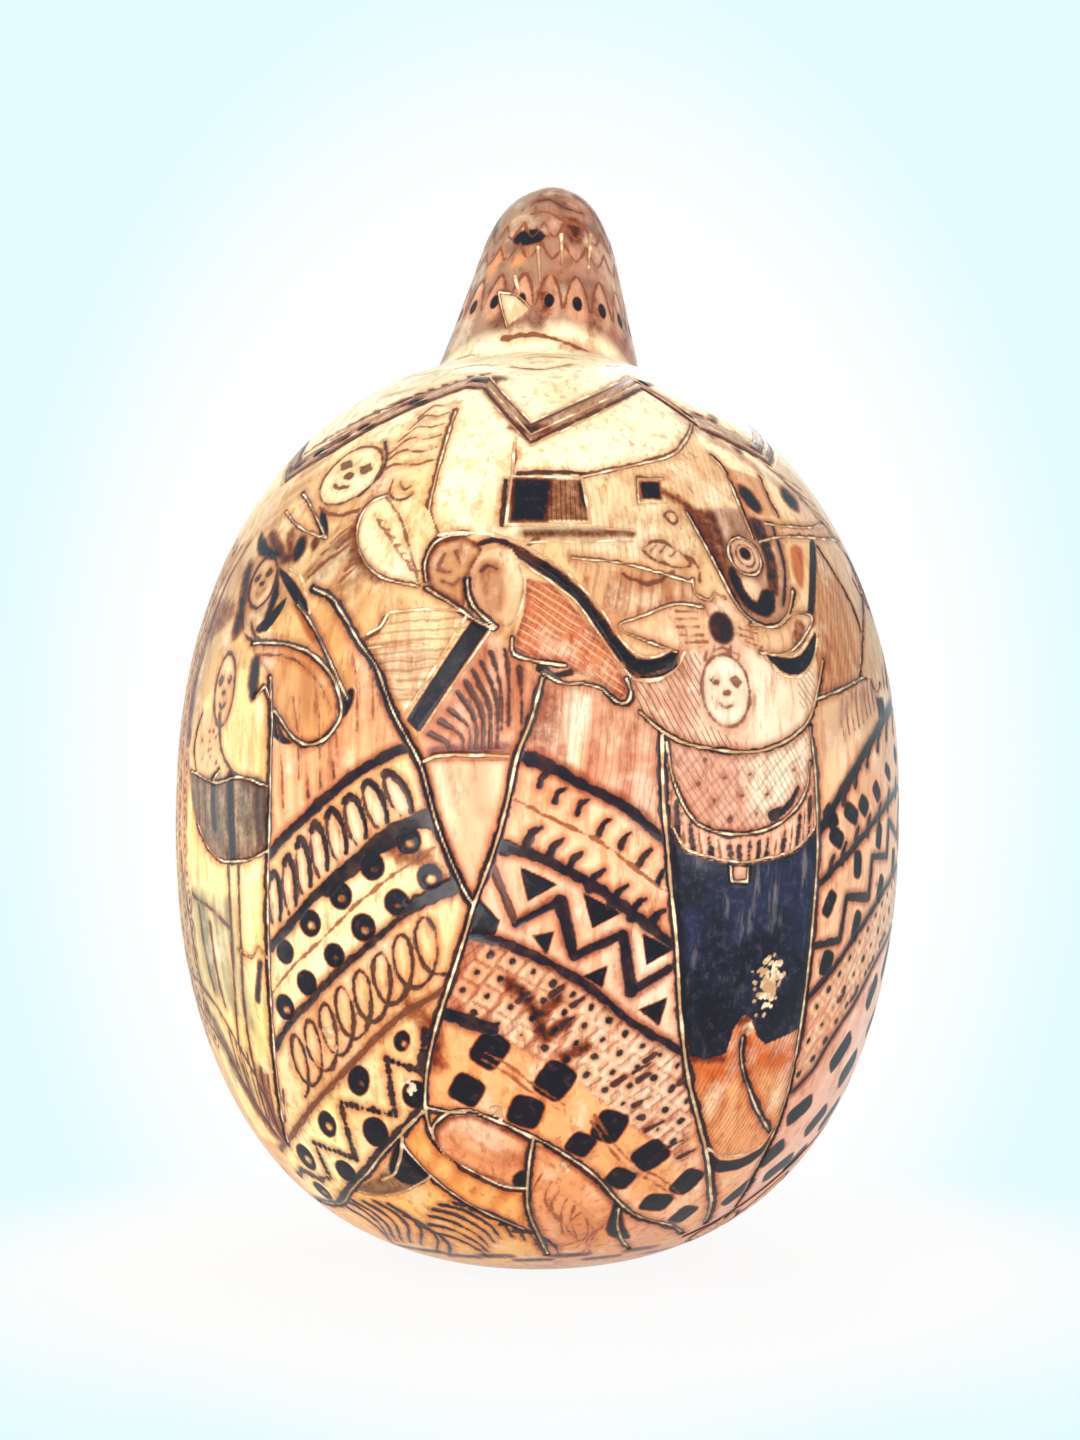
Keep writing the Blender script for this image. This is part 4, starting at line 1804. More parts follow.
def robed_head():
    """The small head with dark hair, in front of a cloak."""
    dyed(
        [(-52, 103), (-46, 102.6), (-40, 98), (-39, 94), (-42.6, 92.4), (-47, 91.6), (-52.6, 93)],
        rgb(196, 150, 98), 0.8, smooth=True,
    )
    streaks((-50, 93), (-40, 97), (2, 6), 8, (rgb(150, 108, 66), rgb(226, 182, 122)), 1.1)
    smudge([(-44.6, 98), (-43.2, 95.4), (-44, 93)], 1.3, 0.8)
    doll_face((-47.6, 97.6), 5.2, 6.6, 10, rgb(240, 200, 142))
    burnt_spot(
        [
            (-54.6, 105), (-51, 103.4), (-47.6, 101.8), (-45, 101.4), (-45.4, 100.2),
            (-49.4, 100.8), (-53.6, 102.6),
        ], 0.75, 1.0, smooth=True,
    )
    smudge([(-54, 100), (-52.4, 96), (-52, 92)], 2.2, 0.7)
    smudge([(-50, 104), (-46, 101.6), (-43, 100)], 1.6, 0.6)
    burnt_spot(
        [(-46.4, 91.4), (-43.6, 91.2), (-41.2, 93), (-40.4, 94.8), (-42.6, 93.8), (-45, 92.4)], 1.0,
        0.8, smooth=True,
    )
    burnt_spot(
        [(-64, 96.8), (-56, 96.4), (-53.4, 94.6), (-57, 92.6), (-65, 91.4)], 0.42, 2.8, smooth=True,
    )
    smudge([(-64, 92), (-66, 86), (-66, 80)], 2.2)
    streaks(
        (-66, 78), (-54, 104), (-3, 7), 16,
        (rgb(214, 170, 140), rgb(178, 140, 116), rgb(246, 214, 170)), 1.5,
    )
    for line in (
        [(-48, 92.6), (-46, 90.6), (-43, 90)], [(-51, 94), (-49.6, 91.6), (-46.6, 90.2)],
        [(-58, 104), (-62, 99), (-64, 93)], [(-62, 104), (-67, 97), (-70, 90)],
    ):
        burnt_line(line, 0.45, 0.7)


def long_robe():
    """The long yellow robe, its second face and its dark skirt."""
    dyed(
        [
            (-51, 87), (-46, 87), (-42, 85.4), (-40.6, 80), (-40.6, 70), (-41.4, 62), (-43, 52),
            (-45.4, 44), (-50, 35), (-53, 31), (-60, 30.4), (-66, 31), (-68, 60), (-64, 74),
            (-60, 84),
        ], rgb(250, 218, 142), 0.8,
    )
    streaks((-50, 75), (-41.4, 74), (0, 9), 6, (rgb(246, 210, 136), rgb(232, 184, 112)), 1.6, 0.7)
    streaks((-50, 62), (-43, 60), (-1.6, -14), 6, (rgb(255, 238, 168), rgb(244, 208, 128)), 1.8)
    doll_face((-52.8, 85), 4.8, 8.6, 0, rgb(244, 206, 138))
    burnt_spot(
        [(-46, 88), (-44.2, 88.2), (-43.8, 84.4), (-45, 83), (-46.2, 85)], 0.85, 1.6, smooth=True,
    )
    dyed(
        [(-60, 82), (-57, 83), (-54, 80), (-52.6, 76), (-55, 74.6), (-59.6, 75.4), (-62, 78)],
        rgb(244, 196, 136), smooth=True,
    )
    for _ in range(14):
        place = (-60 + hand.uniform(0, 6.6), 76 + hand.uniform(0, 5.4))
        stroke(ink, [place, (place[0] + 0.2, place[1])], 0.35, 1.0, 0.3)
    contour([(-60, 82.6), (-62.4, 79), (-60.6, 75.4), (-56, 74.4), (-52.8, 75.6)], 0.6, 0.2, 0.8)
    burnt_line([(-53.4, 82), (-52, 77.6), (-48, 74.8), (-44, 73.6), (-41, 73.4)], 0.5, 0.8)
    skirt = dyed(
        [
            (-64, 76), (-61, 75.4), (-54, 74.4), (-47, 74.4), (-40.9, 73.4), (-40.8, 66.4),
            (-46, 65.4), (-52, 65.4), (-57.4, 67.4), (-62, 71),
        ], rgb(168, 140, 100), 0.6, smooth=True, over=True,
    )
    scorch(skirt, 0.3, 1.2)
    streaks(
        (-61, 75), (-42, 73.6), (0.6, -8), 15,
        (rgb(110, 96, 66), rgb(188, 166, 124), rgb(84, 74, 58)), 1.6, 1.0,
    )
    for line, amount in (
        ([(-49.6, 74.6), (-49.4, 70), (-49.2, 65.6)], 0.95),
        ([(-54.6, 74.6), (-54.6, 71), (-54, 69)], 0.7),
        ([(-43, 73.6), (-43, 70), (-42.6, 67)], 0.5),
    ):
        smudge(line, 1.5, amount)
    hatch(skirt, 88, 0.9, 0.5)
    contour([(-64, 76), (-60.6, 75.4), (-54, 74.2), (-47.6, 74.6), (-40.8, 73.3)], 0.6, 0.2)
    contour([(-62, 71), (-57.6, 67.2), (-52.4, 65.2), (-45.6, 65.2), (-41, 66.2)], 0.6)


def robe_folds():
    """The long folds that fall from the dark skirt to the foot."""
    grey_green = (rgb(150, 140, 98), rgb(226, 204, 146), rgb(120, 112, 84), rgb(206, 186, 128))
    streaks((-66, 62), (-50, 60), (3, -26), 16, grey_green, 1.5, 1.0)
    streaks((-80, 60), (-72, 64), (5, -24), 6, grey_green, 1.6, 0.6)
    streaks((-72, 66), (-67, 61), (5, -22), 6, grey_green, 1.6, 0.7)
    streaks((-62, 50), (-48, 44), (4, -12), 10, (rgb(252, 226, 150), rgb(238, 196, 120)))
    for line in (
        [(-67, 48), (-63, 45), (-60, 41)], [(-61.6, 41), (-58.6, 36), (-56.6, 32)],
        [(-51, 40), (-52.4, 36), (-54, 32)],
    ):
        smudge(line, 2.2)
    for line in (
        [(-50.4, 66), (-50.8, 58), (-52.6, 50), (-55.8, 43), (-58, 36)],
        [(-47.6, 65.6), (-48.6, 56), (-50.6, 48), (-53, 40), (-56, 33)],
        [(-64.1, 61.4), (-56.5, 59.5), (-51, 57.4)],
        [(-75.7, 52.5), (-64, 49.6), (-57, 45), (-52.6, 38), (-53.4, 31)],
        [(-80.5, 51.5), (-70, 47), (-62, 42.5), (-58.2, 37), (-55, 31)],
        [(-70, 66), (-67, 58), (-66, 50)],
        [(-61.4, 60), (-61, 54), (-60, 50)],
        [(-57.6, 58), (-57.6, 52), (-57, 48)],
    ):
        burnt_line(line, 0.55, 0.7, 0.8)
    contour([(-49.4, 55), (-46.4, 54.2), (-44.4, 55.4), (-43, 54.2)], 0.5, 0.16)
    smudge([(-44.4, 53.6), (-46.4, 49.4)], 1.0, 0.8)
    for k in range(9):
        burnt_line(
            [(-58 + 1.5 * k, 45 - 0.8 * k), (-59 + 1.2 * k, 39 - 0.6 * k), (-60 + k, 34)], 0.35,
            0.6, 0.5,
        )
    edge = [
        (-41.4, 85.6), (-40.4, 80), (-40.6, 70), (-41.2, 64), (-42.2, 56), (-43.6, 49),
        (-45.4, 43.4), (-48.6, 37), (-53, 31),
    ]
    contour(edge, 1.2, 0.18)
    contour([(-44.4, 83.6), (-42.4, 84.6), (-41.4, 83.4)], 0.8, 0.24)


def robed_figure():
    """The figure at the left end, from back to front."""
    looping_bird()
    robed_head()
    long_robe()
    robe_folds()


# %% [markdown]
# ## The foot
#
# The leaves under the skirts are a few broad shapes, each with its own streaks. The strokes of
# grass between them all bend the same way, so one short loop draws them.


# %% Leaves round the foot
def left_foot_leaves():
    """The dark wedge, the outer leaf and the oval one."""
    dyed(
        [(-62, 12), (-62, 21), (-42, 24.6), (-24, 26.8), (-10, 21), (0, 18), (2, 8), (-30, 4)],
        rgb(252, 198, 112), 3.0, 0.8,
    )
    wedge = dyed(
        [
            (-39.5, 24.8), (-31.4, 27.6), (-27.6, 30), (-24.4, 33.2), (-22.8, 32.8), (-20.8, 27.9),
            (-25, 25.9), (-31, 24.6), (-36, 23.9),
        ], rgb(178, 142, 92), smooth=True,
    )
    scorch(wedge, 0.36, 0.8)
    burnt_spot(
        [(-28.4, 28), (-24.6, 32.6), (-23, 32), (-20.8, 28), (-24, 26.4)], 1.0, 0.9, smooth=True,
    )
    burin_line([(-31.3, 26.9), (-28, 27.8), (-26, 29.4), (-24.3, 31.6), (-23.4, 33.4)], 0.5)
    contour([(-39.5, 24.4), (-34, 24), (-28, 25), (-22, 27), (-20, 28)], 0.4, 0.24, 0.4)
    outer = [
        (-18.4, 36.8), (-22.8, 34.4), (-23.6, 32.4), (-22.3, 30.4), (-19.5, 27.4), (-14.7, 23.9),
        (-9, 21.2), (-3.2, 18.9),
    ]
    outer_shape = dyed(
        [*outer, (-2, 23.9), (-2.2, 26.4), (-9.4, 27.9), (-15, 31), (-17.8, 34.7)],
        rgb(240, 160, 84),
    )
    streaks((-21, 31), (-6, 22), (3, 4), 9, (rgb(250, 188, 110), rgb(214, 128, 66)), 1.5, 0.8)
    scorch_rim(outer_shape, 0.3)
    oval = dyed(
        [
            (-17.4, 33), (-16.9, 34.8), (-14.3, 36.4), (-10.7, 36.9), (-7.4, 35.9), (-3.6, 34.6),
            (-0.7, 33.4), (-1.4, 30.6), (-2.3, 26.8), (-5.8, 27.1), (-10.1, 28.4), (-13.6, 29.9),
            (-16.1, 31.1),
        ], rgb(226, 150, 100), over=True,
    )
    streaks((-15, 35), (-5, 35), (8, -5), 10, (rgb(184, 92, 50), rgb(244, 184, 132)), 1.5)
    scorch_rim(oval, 0.5, 1.8)
    burnt_spot([(-4.2, 28.6), (-1.9, 29.4), (-2.2, 26.6), (-4.4, 26.9)], 1.0, 0.8, smooth=True)
    contour(
        [
            (-17.8, 33.4), (-17, 35.2), (-14.3, 36.8), (-10.7, 37.2), (-7.4, 36.2), (-3.6, 34.9),
            (-0.6, 33.6),
        ], 1.0, 0.28, 1.0,
    )
    contour(outer, 1.1, 0.26, 0.95)


def right_foot_leaves():
    """The broad leaf and what lies right of it."""
    broad = dyed(
        [
            (-0.6, 33.2), (3.5, 31.8), (8, 29.4), (12, 26.8), (16, 23.6), (15.6, 19.6), (12, 16.4),
            (7, 14.6), (2, 15), (0, 19), (-1.8, 24), (-1.6, 29.7),
        ], rgb(238, 166, 112), 0.6,
    )
    for k in range(9):
        start = (1 + 1.6 * k, 29 - 1.3 * k)
        burnt_line(
            [
                start, shifted(start, hand.uniform(-2, 1), -3),
                shifted(start, hand.uniform(-1, 2), -7),
            ], 0.22, 0.1, 0.7,
        )
    scorch_rim(broad, 0.4, 1.8)
    contour(
        [(-0.7, 33.4), (-1.5, 29.7), (-2, 24), (-1.2, 20.6), (0.2, 17.6), (1.4, 15), (3, 12)], 1.15,
        0.34, 0.95,
    )
    wedge = area(
        [
            (15.6, 24.4), (17.4, 23.2), (18.8, 21), (20.4, 19.1), (24, 16), (19.4, 16.6),
            (16.1, 18.7),
        ], smooth=True,
    )
    scorch(wedge, 1.0, 0.8)
    contour([(17.2, 22.6), (19, 18.8), (23, 15.2), (28, 12.4)], 0.8, 0.22)
    dyed(
        [(18.6, 21.6), (25, 20.4), (31, 18.6), (34, 17.6), (31, 14), (24.6, 14.6), (20.4, 17.4)],
        rgb(236, 172, 130), 0.6, smooth=True,
    )


def grass():
    """Bent strokes of grass, and scorched marks round the foot."""
    for first in (
        (-46, 22.4), (-43.4, 22.4), (-40, 22.8), (-36.4, 23), (-33, 22.6), (-30.4, 20.6),
        (-28.6, 18.8), (-49, 21),
    ):
        burnt_line(
            [
                first, (first[0] + 3.4, first[1] - 2), (first[0] + 3.6, first[1] - 5),
                (first[0] - 2.4, first[1] - 9.4),
            ], 0.8, 1.0, 0.3,
        )
    for first in (
        (-26.3, 17.3), (-25.2, 19.2), (-24, 21), (-22, 22.3), (-20.1, 23.4), (-17, 23.8), (-14, 23),
        (-11, 21.6), (-8, 20.2), (-5, 18.8),
    ):
        burnt_line(
            [
                first, (first[0] + 4.6, first[1] - 0.8), (first[0] + 9.4, first[1] - 3.6),
                (first[0] + 11, first[1] - 6.4),
            ], 0.8, 1.0, 0.3,
        )
    for k in range(9):
        place = (-52 + 11.5 * k, 10.6 + 1.4 * math.sin(3 * k))
        smudge([place, shifted(place, 3.4, 0.3)], 1.6, 0.6)
        brush([place, shifted(place, 3, 0.4)], rgb(120, 100, 90), 1.4, 0.8)


def foot_leaves():
    """Orange leaves under the skirts, with strokes of grass between them."""
    left_foot_leaves()
    right_foot_leaves()
    grass()


# %% [markdown]
# ## The sides and the back
#
# The photograph shows the front only. The front picture comes again at the back, mirrored, and a
# small house and a tree in the same manner fill the sides between the two.


# %% The house at the right side
def side_house():
    """A second small house between two hills, on the right side of the gourd."""
    for middle, reach, high in ((-16, 17, 100), (15, 15, 98), (2, 20, 95)):
        hill = [
            (middle - reach, 87), (middle - 0.6 * reach, 94), (middle, high),
            (middle + 0.6 * reach, 94), (middle + reach, 87),
        ]
        shape = dyed(hill, rgb(224, 172, 116), 0.8, 0.8, over=True)
        hatch(shape, 70 - 3 * middle, 0.9, 0.45)
        contour(hill, black=0.8)
    for k in range(11):
        burnt_line(
            [
                (-17 + 3.3 * k, 110 + 3 * math.sin(2 * k)),
                (-13 + 3.3 * k, 111.4 + 3 * math.sin(2 * k)),
            ], 0.4, 0.4, 0.5,
        )
    dyed([(-10, 89), (-10, 102), (0, 110), (10, 102), (10, 89)], rgb(252, 236, 190), 0.4, over=True)
    hatch(area([(0, 89.4), (0, 108), (9.4, 101), (9.4, 89.4)]), 88, 0.8, 0.3)
    roof = [(-14, 101), (0, 112), (14, 101)]
    band = dyed([*roof, (14, 98.2), (0, 109), (-14, 98.2)], rgb(170, 124, 92), 0.4, over=True)
    hatch(band, 90, 0.7, 0.7)
    contour(roof, 0.8, 0.36, smooth=False)
    contour([(-14, 98.2), (0, 109), (14, 98.2)], smooth=False)
    for low, high, left, right in ((89, 98, -2.6, 2.6), (94, 98, -7.8, -4.6), (94, 98, 4.8, 8)):
        corners = [(left, low), (left, high), (right, high), (right, low)]
        burnt_spot(corners, 1.0)
        burin_line([*corners, corners[0]], 0.4, smooth=False)
    contour([(-10, 99), (-10, 89), (10, 89), (10, 99)], black=0.8, smooth=False)
    for k in range(13):
        foot = (-21 + 3.5 * k, 86.6)
        burnt_line([foot, shifted(foot, 0.5, 1.6), shifted(foot, 1.3, 2.6)], 0.5, 0.9, 0.4)
    for here in (-17, 17):
        burnt_line([(here, 96), (here, 103)], 0.6, 0.8, 0.7, smooth=False)
        for lift in (0, 2.2, 4.4):
            for side in (-1, 1):
                leaf((here, 97 + lift), (here + side * 3.6, 99.4 + lift), 1.7, rgb(196, 164, 92), 0)


# %% The tree at the left side
def side_tree():
    """A tree with leaves and flowers, on the left side of the gourd."""
    ground_shape = area(
        [(-9, 30), (-13, 62), (-12, 104), (12, 104), (13, 62), (9, 30)], smooth=True, reach=12,
    )
    dye(ground_shape, rgb(246, 214, 148), 9.0, 0.7)
    for k in range(9):
        here = -13 + 3.2 * k
        streaks(
            (here, 38), (here + 2, 100), (1, 6), 10, (rgb(222, 176, 116), rgb(252, 232, 180)), 1.4,
            0.8,
        )
    trunk = [
        (-3, 26), (-1.6, 45), (-2.2, 64), (-1.2, 84), (0, 100), (1.4, 84), (2, 64), (2.4, 45),
        (3.4, 26),
    ]
    shape = dyed(trunk, rgb(176, 122, 80), 0.4, over=True)
    hatch(shape, 86, 0.7, 0.6)
    contour(trunk[:5], 1.0, 0.34, 0.95)
    contour(trunk[4:], 1.0, 0.3, 0.95)
    greens = (rgb(196, 170, 96), rgb(230, 166, 96), rgb(170, 146, 88), rgb(240, 190, 120))
    for k in range(9):
        low = 42 + 6.6 * k
        reach = (9.5, 12.5, 8.5)[k % 3]
        for side in (-1, 1):
            start = (side * 1.4, low + side)
            leaf(start, (side * reach, low + 5.6 + side), 4.6, greens[(k + side) % 4], 3)
    for place, size in (((0, 103), 6.4), ((-10, 99), 4.6), ((10.4, 98), 4.6)):
        for turn in range(0, 360, 45):
            angle = math.radians(turn)
            tip = shifted(place, size * 0.72 * math.cos(angle), size * 0.72 * math.sin(angle))
            leaf(place, tip, size * 0.42, rgb(240, 190, 140), 0)
        burnt_spot(disc(place, size * 0.36), 1.0)
        burin_line(ring(place, size * 0.42))
    for k in range(13):
        foot = (-17 + 2.9 * k, 21 + 1.4 * math.sin(2.4 * k))
        burnt_line([foot, shifted(foot, 0.6, 3), shifted(foot, 2.0, 5.4)], 0.75, 0.9, 0.3)
    leaf((-6, 12), (-13, 24), 6.0, orange)
    leaf((6, 12), (13, 24), 6.0, orange)
    leaf((0, 10), (0, 23), 6.0, honey)


# %% The whole picture once
def chips():
    """Small pale chips where the varnish has worn through."""
    worn = [
        ((35.2, 51.6), 2.0, 120), ((32.4, 46.4), 0.7, 12), ((-32.6, 45.8), 0.8, 16),
        ((-20, 40), 0.6, 9), ((-6.2, 37), 0.7, 12), ((4.8, 30), 0.5, 8),
    ]
    for place, size, count in worn:
        for _ in range(count):
            there = shifted(place, hand.normal(0, size * 0.42), hand.normal(0, size * 0.62))
            stroke(cut, [there, shifted(there, 0.12, 0.1)], hand.uniform(0.3, 0.6))


def side_dots():
    """Small rings with a dot that fill the left end of the picture."""
    for k in range(19):
        for column in range(3):
            place = (-66.6 - 3.9 * column - 0.5 * math.sin(k), 44 + 3.3 * k + 1.6 * (column % 2))
            burnt_line(ring(place, 2.1, 2.5), 0.3, 0.35)
            stroke(ink, [place, shifted(place, 0.1, 0.1)], 0.7, 1.0, 0.8)


def picture():
    """Draws the front picture, in the order in which its parts lie over each other."""
    side_dots()
    house()
    left_bands()
    middle_bands()
    right_bands()
    robed_figure()
    shoulder_leaf()
    sleeve()
    skirt_point()
    sash()
    bundle()
    foot_leaves()
    apron_woman()


for turn, side in ((0.0, 1), (180.0, -1)):
    placing.update(turn=turn, side=side)
    picture()
    chips()
placing.update(turn=90.0, side=1)
side_house()
placing.update(turn=270.0, side=1)
side_tree()
placing.update(turn=0.0, side=1)
handled = ramp(tape, 70, 82) * (1 - ramp(tape, 98, 110))
stain *= 1 - 0.17 * handled[..., None]
print("burnt share of the skin:", round(float((burn > 0.6).mean()), 3))


# %% [markdown]
# ## Shoulder, neck and foot
#
# Gabled eaves run round the whole shoulder as a zigzag between two burin lines. Above them the
# rind is left pale, with a few short strokes, and the neck is stained brown with scallops.


# %% Eaves and neck
def eaves():
    """The zigzag of eaves round the shoulder."""
    corners = [
        (-57, 114.4), (-45, 117.2), (-31, 122.8), (-17, 127.4), (-12.6, 126.6), (-1.2, 115.4),
        (27.4, 128.6), (36, 120.6), (52, 116.4), (77, 127), (102, 116.4), (127, 127), (152, 116.4),
        (178, 128), (204, 116.4), (229, 127), (254, 116.4), (279, 127), (303, 114.4),
    ]
    for start, end in zip(corners, corners[1:]):
        upper = [(start[0], start[1] + 1.7), (end[0], end[1] + 1.7)]
        lower = [(start[0], start[1] - 1.5), (end[0], end[1] - 1.5)]
        band = dyed([*upper, *lower[::-1]], rgb(184, 146, 116), 0.5, 0.9, over=True)
        scorch(band, 0.14, 0.8)
        hatch(band, 60 if end[1] > start[1] else -60, 0.9)
        burnt_line(upper, 0.55, 0.6, smooth=False)
        burnt_line(lower, 0.6, 0.7, smooth=False)
        burin_line([(a, s + 0.5) for a, s in upper], 0.34, smooth=False)
        burin_line([start, end], smooth=False)
        burin_line([(a, s - 0.5) for a, s in lower], smooth=False)
        low_end = end if end[1] < start[1] else start
        burnt_spot(disc((low_end[0], low_end[1] + 1), 5, 2.4), 0.6, 2.4)
    for place in (
        (-16, 128), (-40, 119.6), (-30, 123.4), (-50, 116.6), (28, 129), (36, 122), (66, 123),
        (92, 121),
    ):
        smudge([place, shifted(place, 1.6, -0.3)], 1.3, 0.85)
    for k in range(14):
        place = (-56 + 3.1 * k, 116 + 0.9 * k)
        burnt_line(
            [shifted(place, -1.4, 1.4), shifted(place, 1.2, 2.0)], 0.5, 0.6, 0.5, smooth=False,
        )


def pale_top():
    """Short strokes on the pale top."""
    worn = (rgb(206, 160, 112), rgb(255, 246, 212), rgb(228, 190, 140))
    for k in range(60):
        here = -180 + 6 * k + hand.uniform(-3, 3)
        low = 127 + hand.uniform(0, 14)
        if abs(wrapped(here - 5)) > 24 or low > 133:
            brush(
                [(here - 7, low), (here, low + hand.uniform(-0.6, 1)), (here + 8, low)],
                worn[k % 3], 1.4, 0.8,
            )
    for k in range(16):
        here = -176 + 22.5 * k + hand.uniform(-4, 4)
        low = 137 + hand.uniform(-5, 6)
        burnt_line([(here - 7, low), (here, low + 0.7), (here + 8, low - 0.3)], 0.36, 0.2, 0.4)
    for k in range(22):
        here, low = -44 + 4.4 * k + hand.uniform(-3, 3), hand.uniform(136, 144)
        brush(
            [(here - 6, low), (here, low + 0.4), (here + 7, low - 0.2)],
            (rgb(206, 168, 130), rgb(232, 200, 158))[k % 2], 1.0, 0.8,
        )
    burnt_line([(-7.5, 131.8), (1, 130.6), (11, 133.1)], 0.45, 0.4, 0.6)
    burnt_line([(-21, 144), (-5, 144.4), (10.9, 143.8), (27.2, 142.8)], 0.7, 0.3, 0.6)


def brown_neck():
    """The brown stain of the neck, streaked and scorched."""
    edge = tape > 137
    turn = np.radians(azimuth)[None]
    height = tape[edge][:, None]
    share = np.clip(
        (height - 144.4 + 4.6 * np.sin(turn) ** 4 - 0.7 * np.sin(3 * turn)) / 2.0, 0, 1,
    )[..., None]
    rosy = (0.5 + 0.5 * np.sin(turn - 0.3))[..., None]
    neck_tone = tone(rgb(160, 126, 98)) * (1 - rosy) + tone(rgb(184, 124, 104)) * rosy
    stain[edge] += (neck_tone - stain[edge]) * share
    grey = (rgb(128, 98, 84), rgb(206, 158, 130), rgb(150, 104, 88), rgb(190, 150, 112))
    for k in range(80):
        here, low = hand.uniform(-180, 180), hand.uniform(146, 168)
        brush(
            [(here, low), (here + 9, low + 0.8), (here + 20, low + hand.uniform(-1, 2))],
            grey[k % 4], 1.3,
        )
    for k in range(12):
        here = -178 + 30 * k + hand.uniform(-5, 5)
        smudge([(here, 146), (here + 4, 148), (here + 2, 150.6)], 2.4, hand.uniform(0.2, 0.4))
        smudge([(here + 9, 169), (here + 12, 165), (here + 15, 161)], 2.0, hand.uniform(0.1, 0.3))


def petals():
    """The ring of petals at the neck's root, and two rings of scallops."""
    for k in range(20):
        here = -177 + 18 * k
        petal = [
            (here - 8.4, 148.6), (here - 5, 152), (here, 153.6), (here + 5, 152),
            (here + 8.4, 148.6), (here, 146.4),
        ]
        dyed(petal, rgb(214, 160, 126), 1.0, 0.8, smooth=True)
        burnt_line(petal[:5], 0.34, 0.35)
        burnt_spot(disc((here, 149.4), 1.25, 2.1), 1.0)
        for lift, strength in ((6.4, 0.25), (9.8, 0.2)):
            burnt_line(
                [(here - 9, 152 + lift), (here, 149.6 + lift), (here + 9, 152 + lift)], 0.32,
                strength,
            )


def neck_marks():
    """Marks on the neck, three times round it."""
    for here in (0, 118, 236):
        burnt_spot(disc((here - 18, 159.3), 4.2, 2.5), 1.0, 1.2)
        burnt_line([(here - 10, 159.6), (here - 2, 159.5)], 0.5, 0.9, 0.4)
        dyed(
            [
                (here - 32.5, 150.8), (here - 25.6, 147.7), (here - 20.6, 145.4), (here - 8, 148),
                (here - 18.2, 149.9),
            ], rgb(236, 206, 166), 0.4, over=True,
        )
        contour([(here - 32.5, 150.8), (here - 25.6, 147.7), (here - 20.6, 145.4)], 0.5, 0.3, 0.6)
        contour([(here - 32.5, 151), (here - 18.2, 150.2), (here - 7.9, 148.2)], 0.5, 0.3, 0.6)
        burnt_spot(disc((here + 20, 161), 2.6, 4.2), 0.6, 2.4)
        for start, end in (
            ((-8.7, 157.7), (-4.1, 152.6)), ((-22.9, 153.3), (-17.1, 150.6)),
            ((9.2, 160), (10.8, 155.2)), ((36.4, 161), (31, 155.6)),
        ):
            burin_line([(here + start[0], start[1]), (here + end[0], end[1])], 0.7, 0.4)
        brush([(here - 41, 157.6), (here - 45, 153.5)], rgb(226, 150, 96), 1.5)
        brush([(here - 25, 155.2), (here - 15, 156.7)], rgb(226, 150, 96))
        for lift, strength in ((163.2, 0.1), (165.6, 0.6)):
            burnt_line(
                [
                    (here - 20, lift), (here - 4, lift + 0.3), (here + 13, lift - 1),
                    (here + 31, lift - 1.4),
                ], 0.5, strength, 0.8,
            )
        smudge([(here + 30, 167.6), (here + 46, 165.6), (here + 64, 161.3)], 1.5, 0.42)


eaves()
pale_top()
brown_neck()
petals()
neck_marks()
print("cut share of the skin:", round(float((cut < 0).mean()), 3))


# %% [markdown]
# ## From layers to a mesh
#
# The grid becomes one closed mesh. Each point sits on the outline, is bent with the neck's lean,
# and is then sunk a little where the burin cut and where the fire ate the skin, so the carving is
# real relief. The layers go along as attributes for the material to read.


# %% Relief and shape
# How deep the burin, the hot point and the flame go, and the width of a groove's wall, in mm
cut_depth = 0.26
line_depth = 0.07
burn_depth = 0.05
cut_wall = 0.35
line_wall = 0.5


def bent(points):
    """Leans everything above the dome back and to the right, as the CAD neck leans."""
    rise = points[..., 2] - neck_root
    share = eased(np.clip((rise - 2.5) / 6.0, 0, 1))
    back, right = np.radians(lean_back) * share, np.radians(lean_right) * share
    x = points[..., 0] * np.cos(right) + rise * np.sin(right)
    rise = rise * np.cos(right) - points[..., 0] * np.sin(right)
    y = points[..., 1] * np.cos(back) + rise * np.sin(back)
    rise = rise * np.cos(back) - points[..., 1] * np.sin(back)
    return np.stack([x, y, rise + neck_root], -1)


def rings(radii, heights):
    """A ring of points for each radius and height."""
    turn = np.radians(azimuth)[None]
    x = radii[:, None] * np.sin(turn)
    y = -radii[:, None] * np.cos(turn)
    return np.stack([x, y, heights[:, None] + 0 * turn], -1)


def relief():
    """How far each point of the skin is sunk, in mm, with the gourd's own gentle unevenness."""
    groove = cut_depth * np.clip(0.5 - cut / cut_wall, 0, 1)
    scar = line_depth * np.clip(0.5 - ink / line_wall, 0, 1) + burn_depth * burn
    around = np.radians(azimuth)[None]
    up = tape[:, None]
    lumps = 0.10 * np.sin(3 * around + up / 17) + 0.07 * np.sin(5 * around - up / 9)
    return groove + scar + lumps * np.clip(up / 30, 0, 1)


def skin_points():
    """All the rings of the skin, from the foot's middle to the floor of the stem's hole."""
    body = rings(row_r, row_z)
    along = np.gradient(body, axis=0)
    around = np.roll(body, -1, axis=1) - np.roll(body, 1, axis=1)
    outward = np.cross(around, along)
    outward /= np.linalg.norm(outward, axis=-1, keepdims=True)
    body = body - outward * relief()[..., None]
    scar_radii = np.linspace(0.3, scar_r, 7)
    foot_radii = np.concatenate([scar_radii, np.linspace(scar_r + 0.4, foot_r - 0.4, 14)])
    scar = scar_depth * np.clip(1 - (foot_radii / scar_r) ** 2, 0, 1)
    foot = rings(foot_radii, scar)
    hole = rings(np.array([stem_r, stem_r]), np.array([row_z[-1] - 0.1, row_z[-1] - 1.2]))
    return bent(np.concatenate([foot, body, hole])), len(foot_radii)


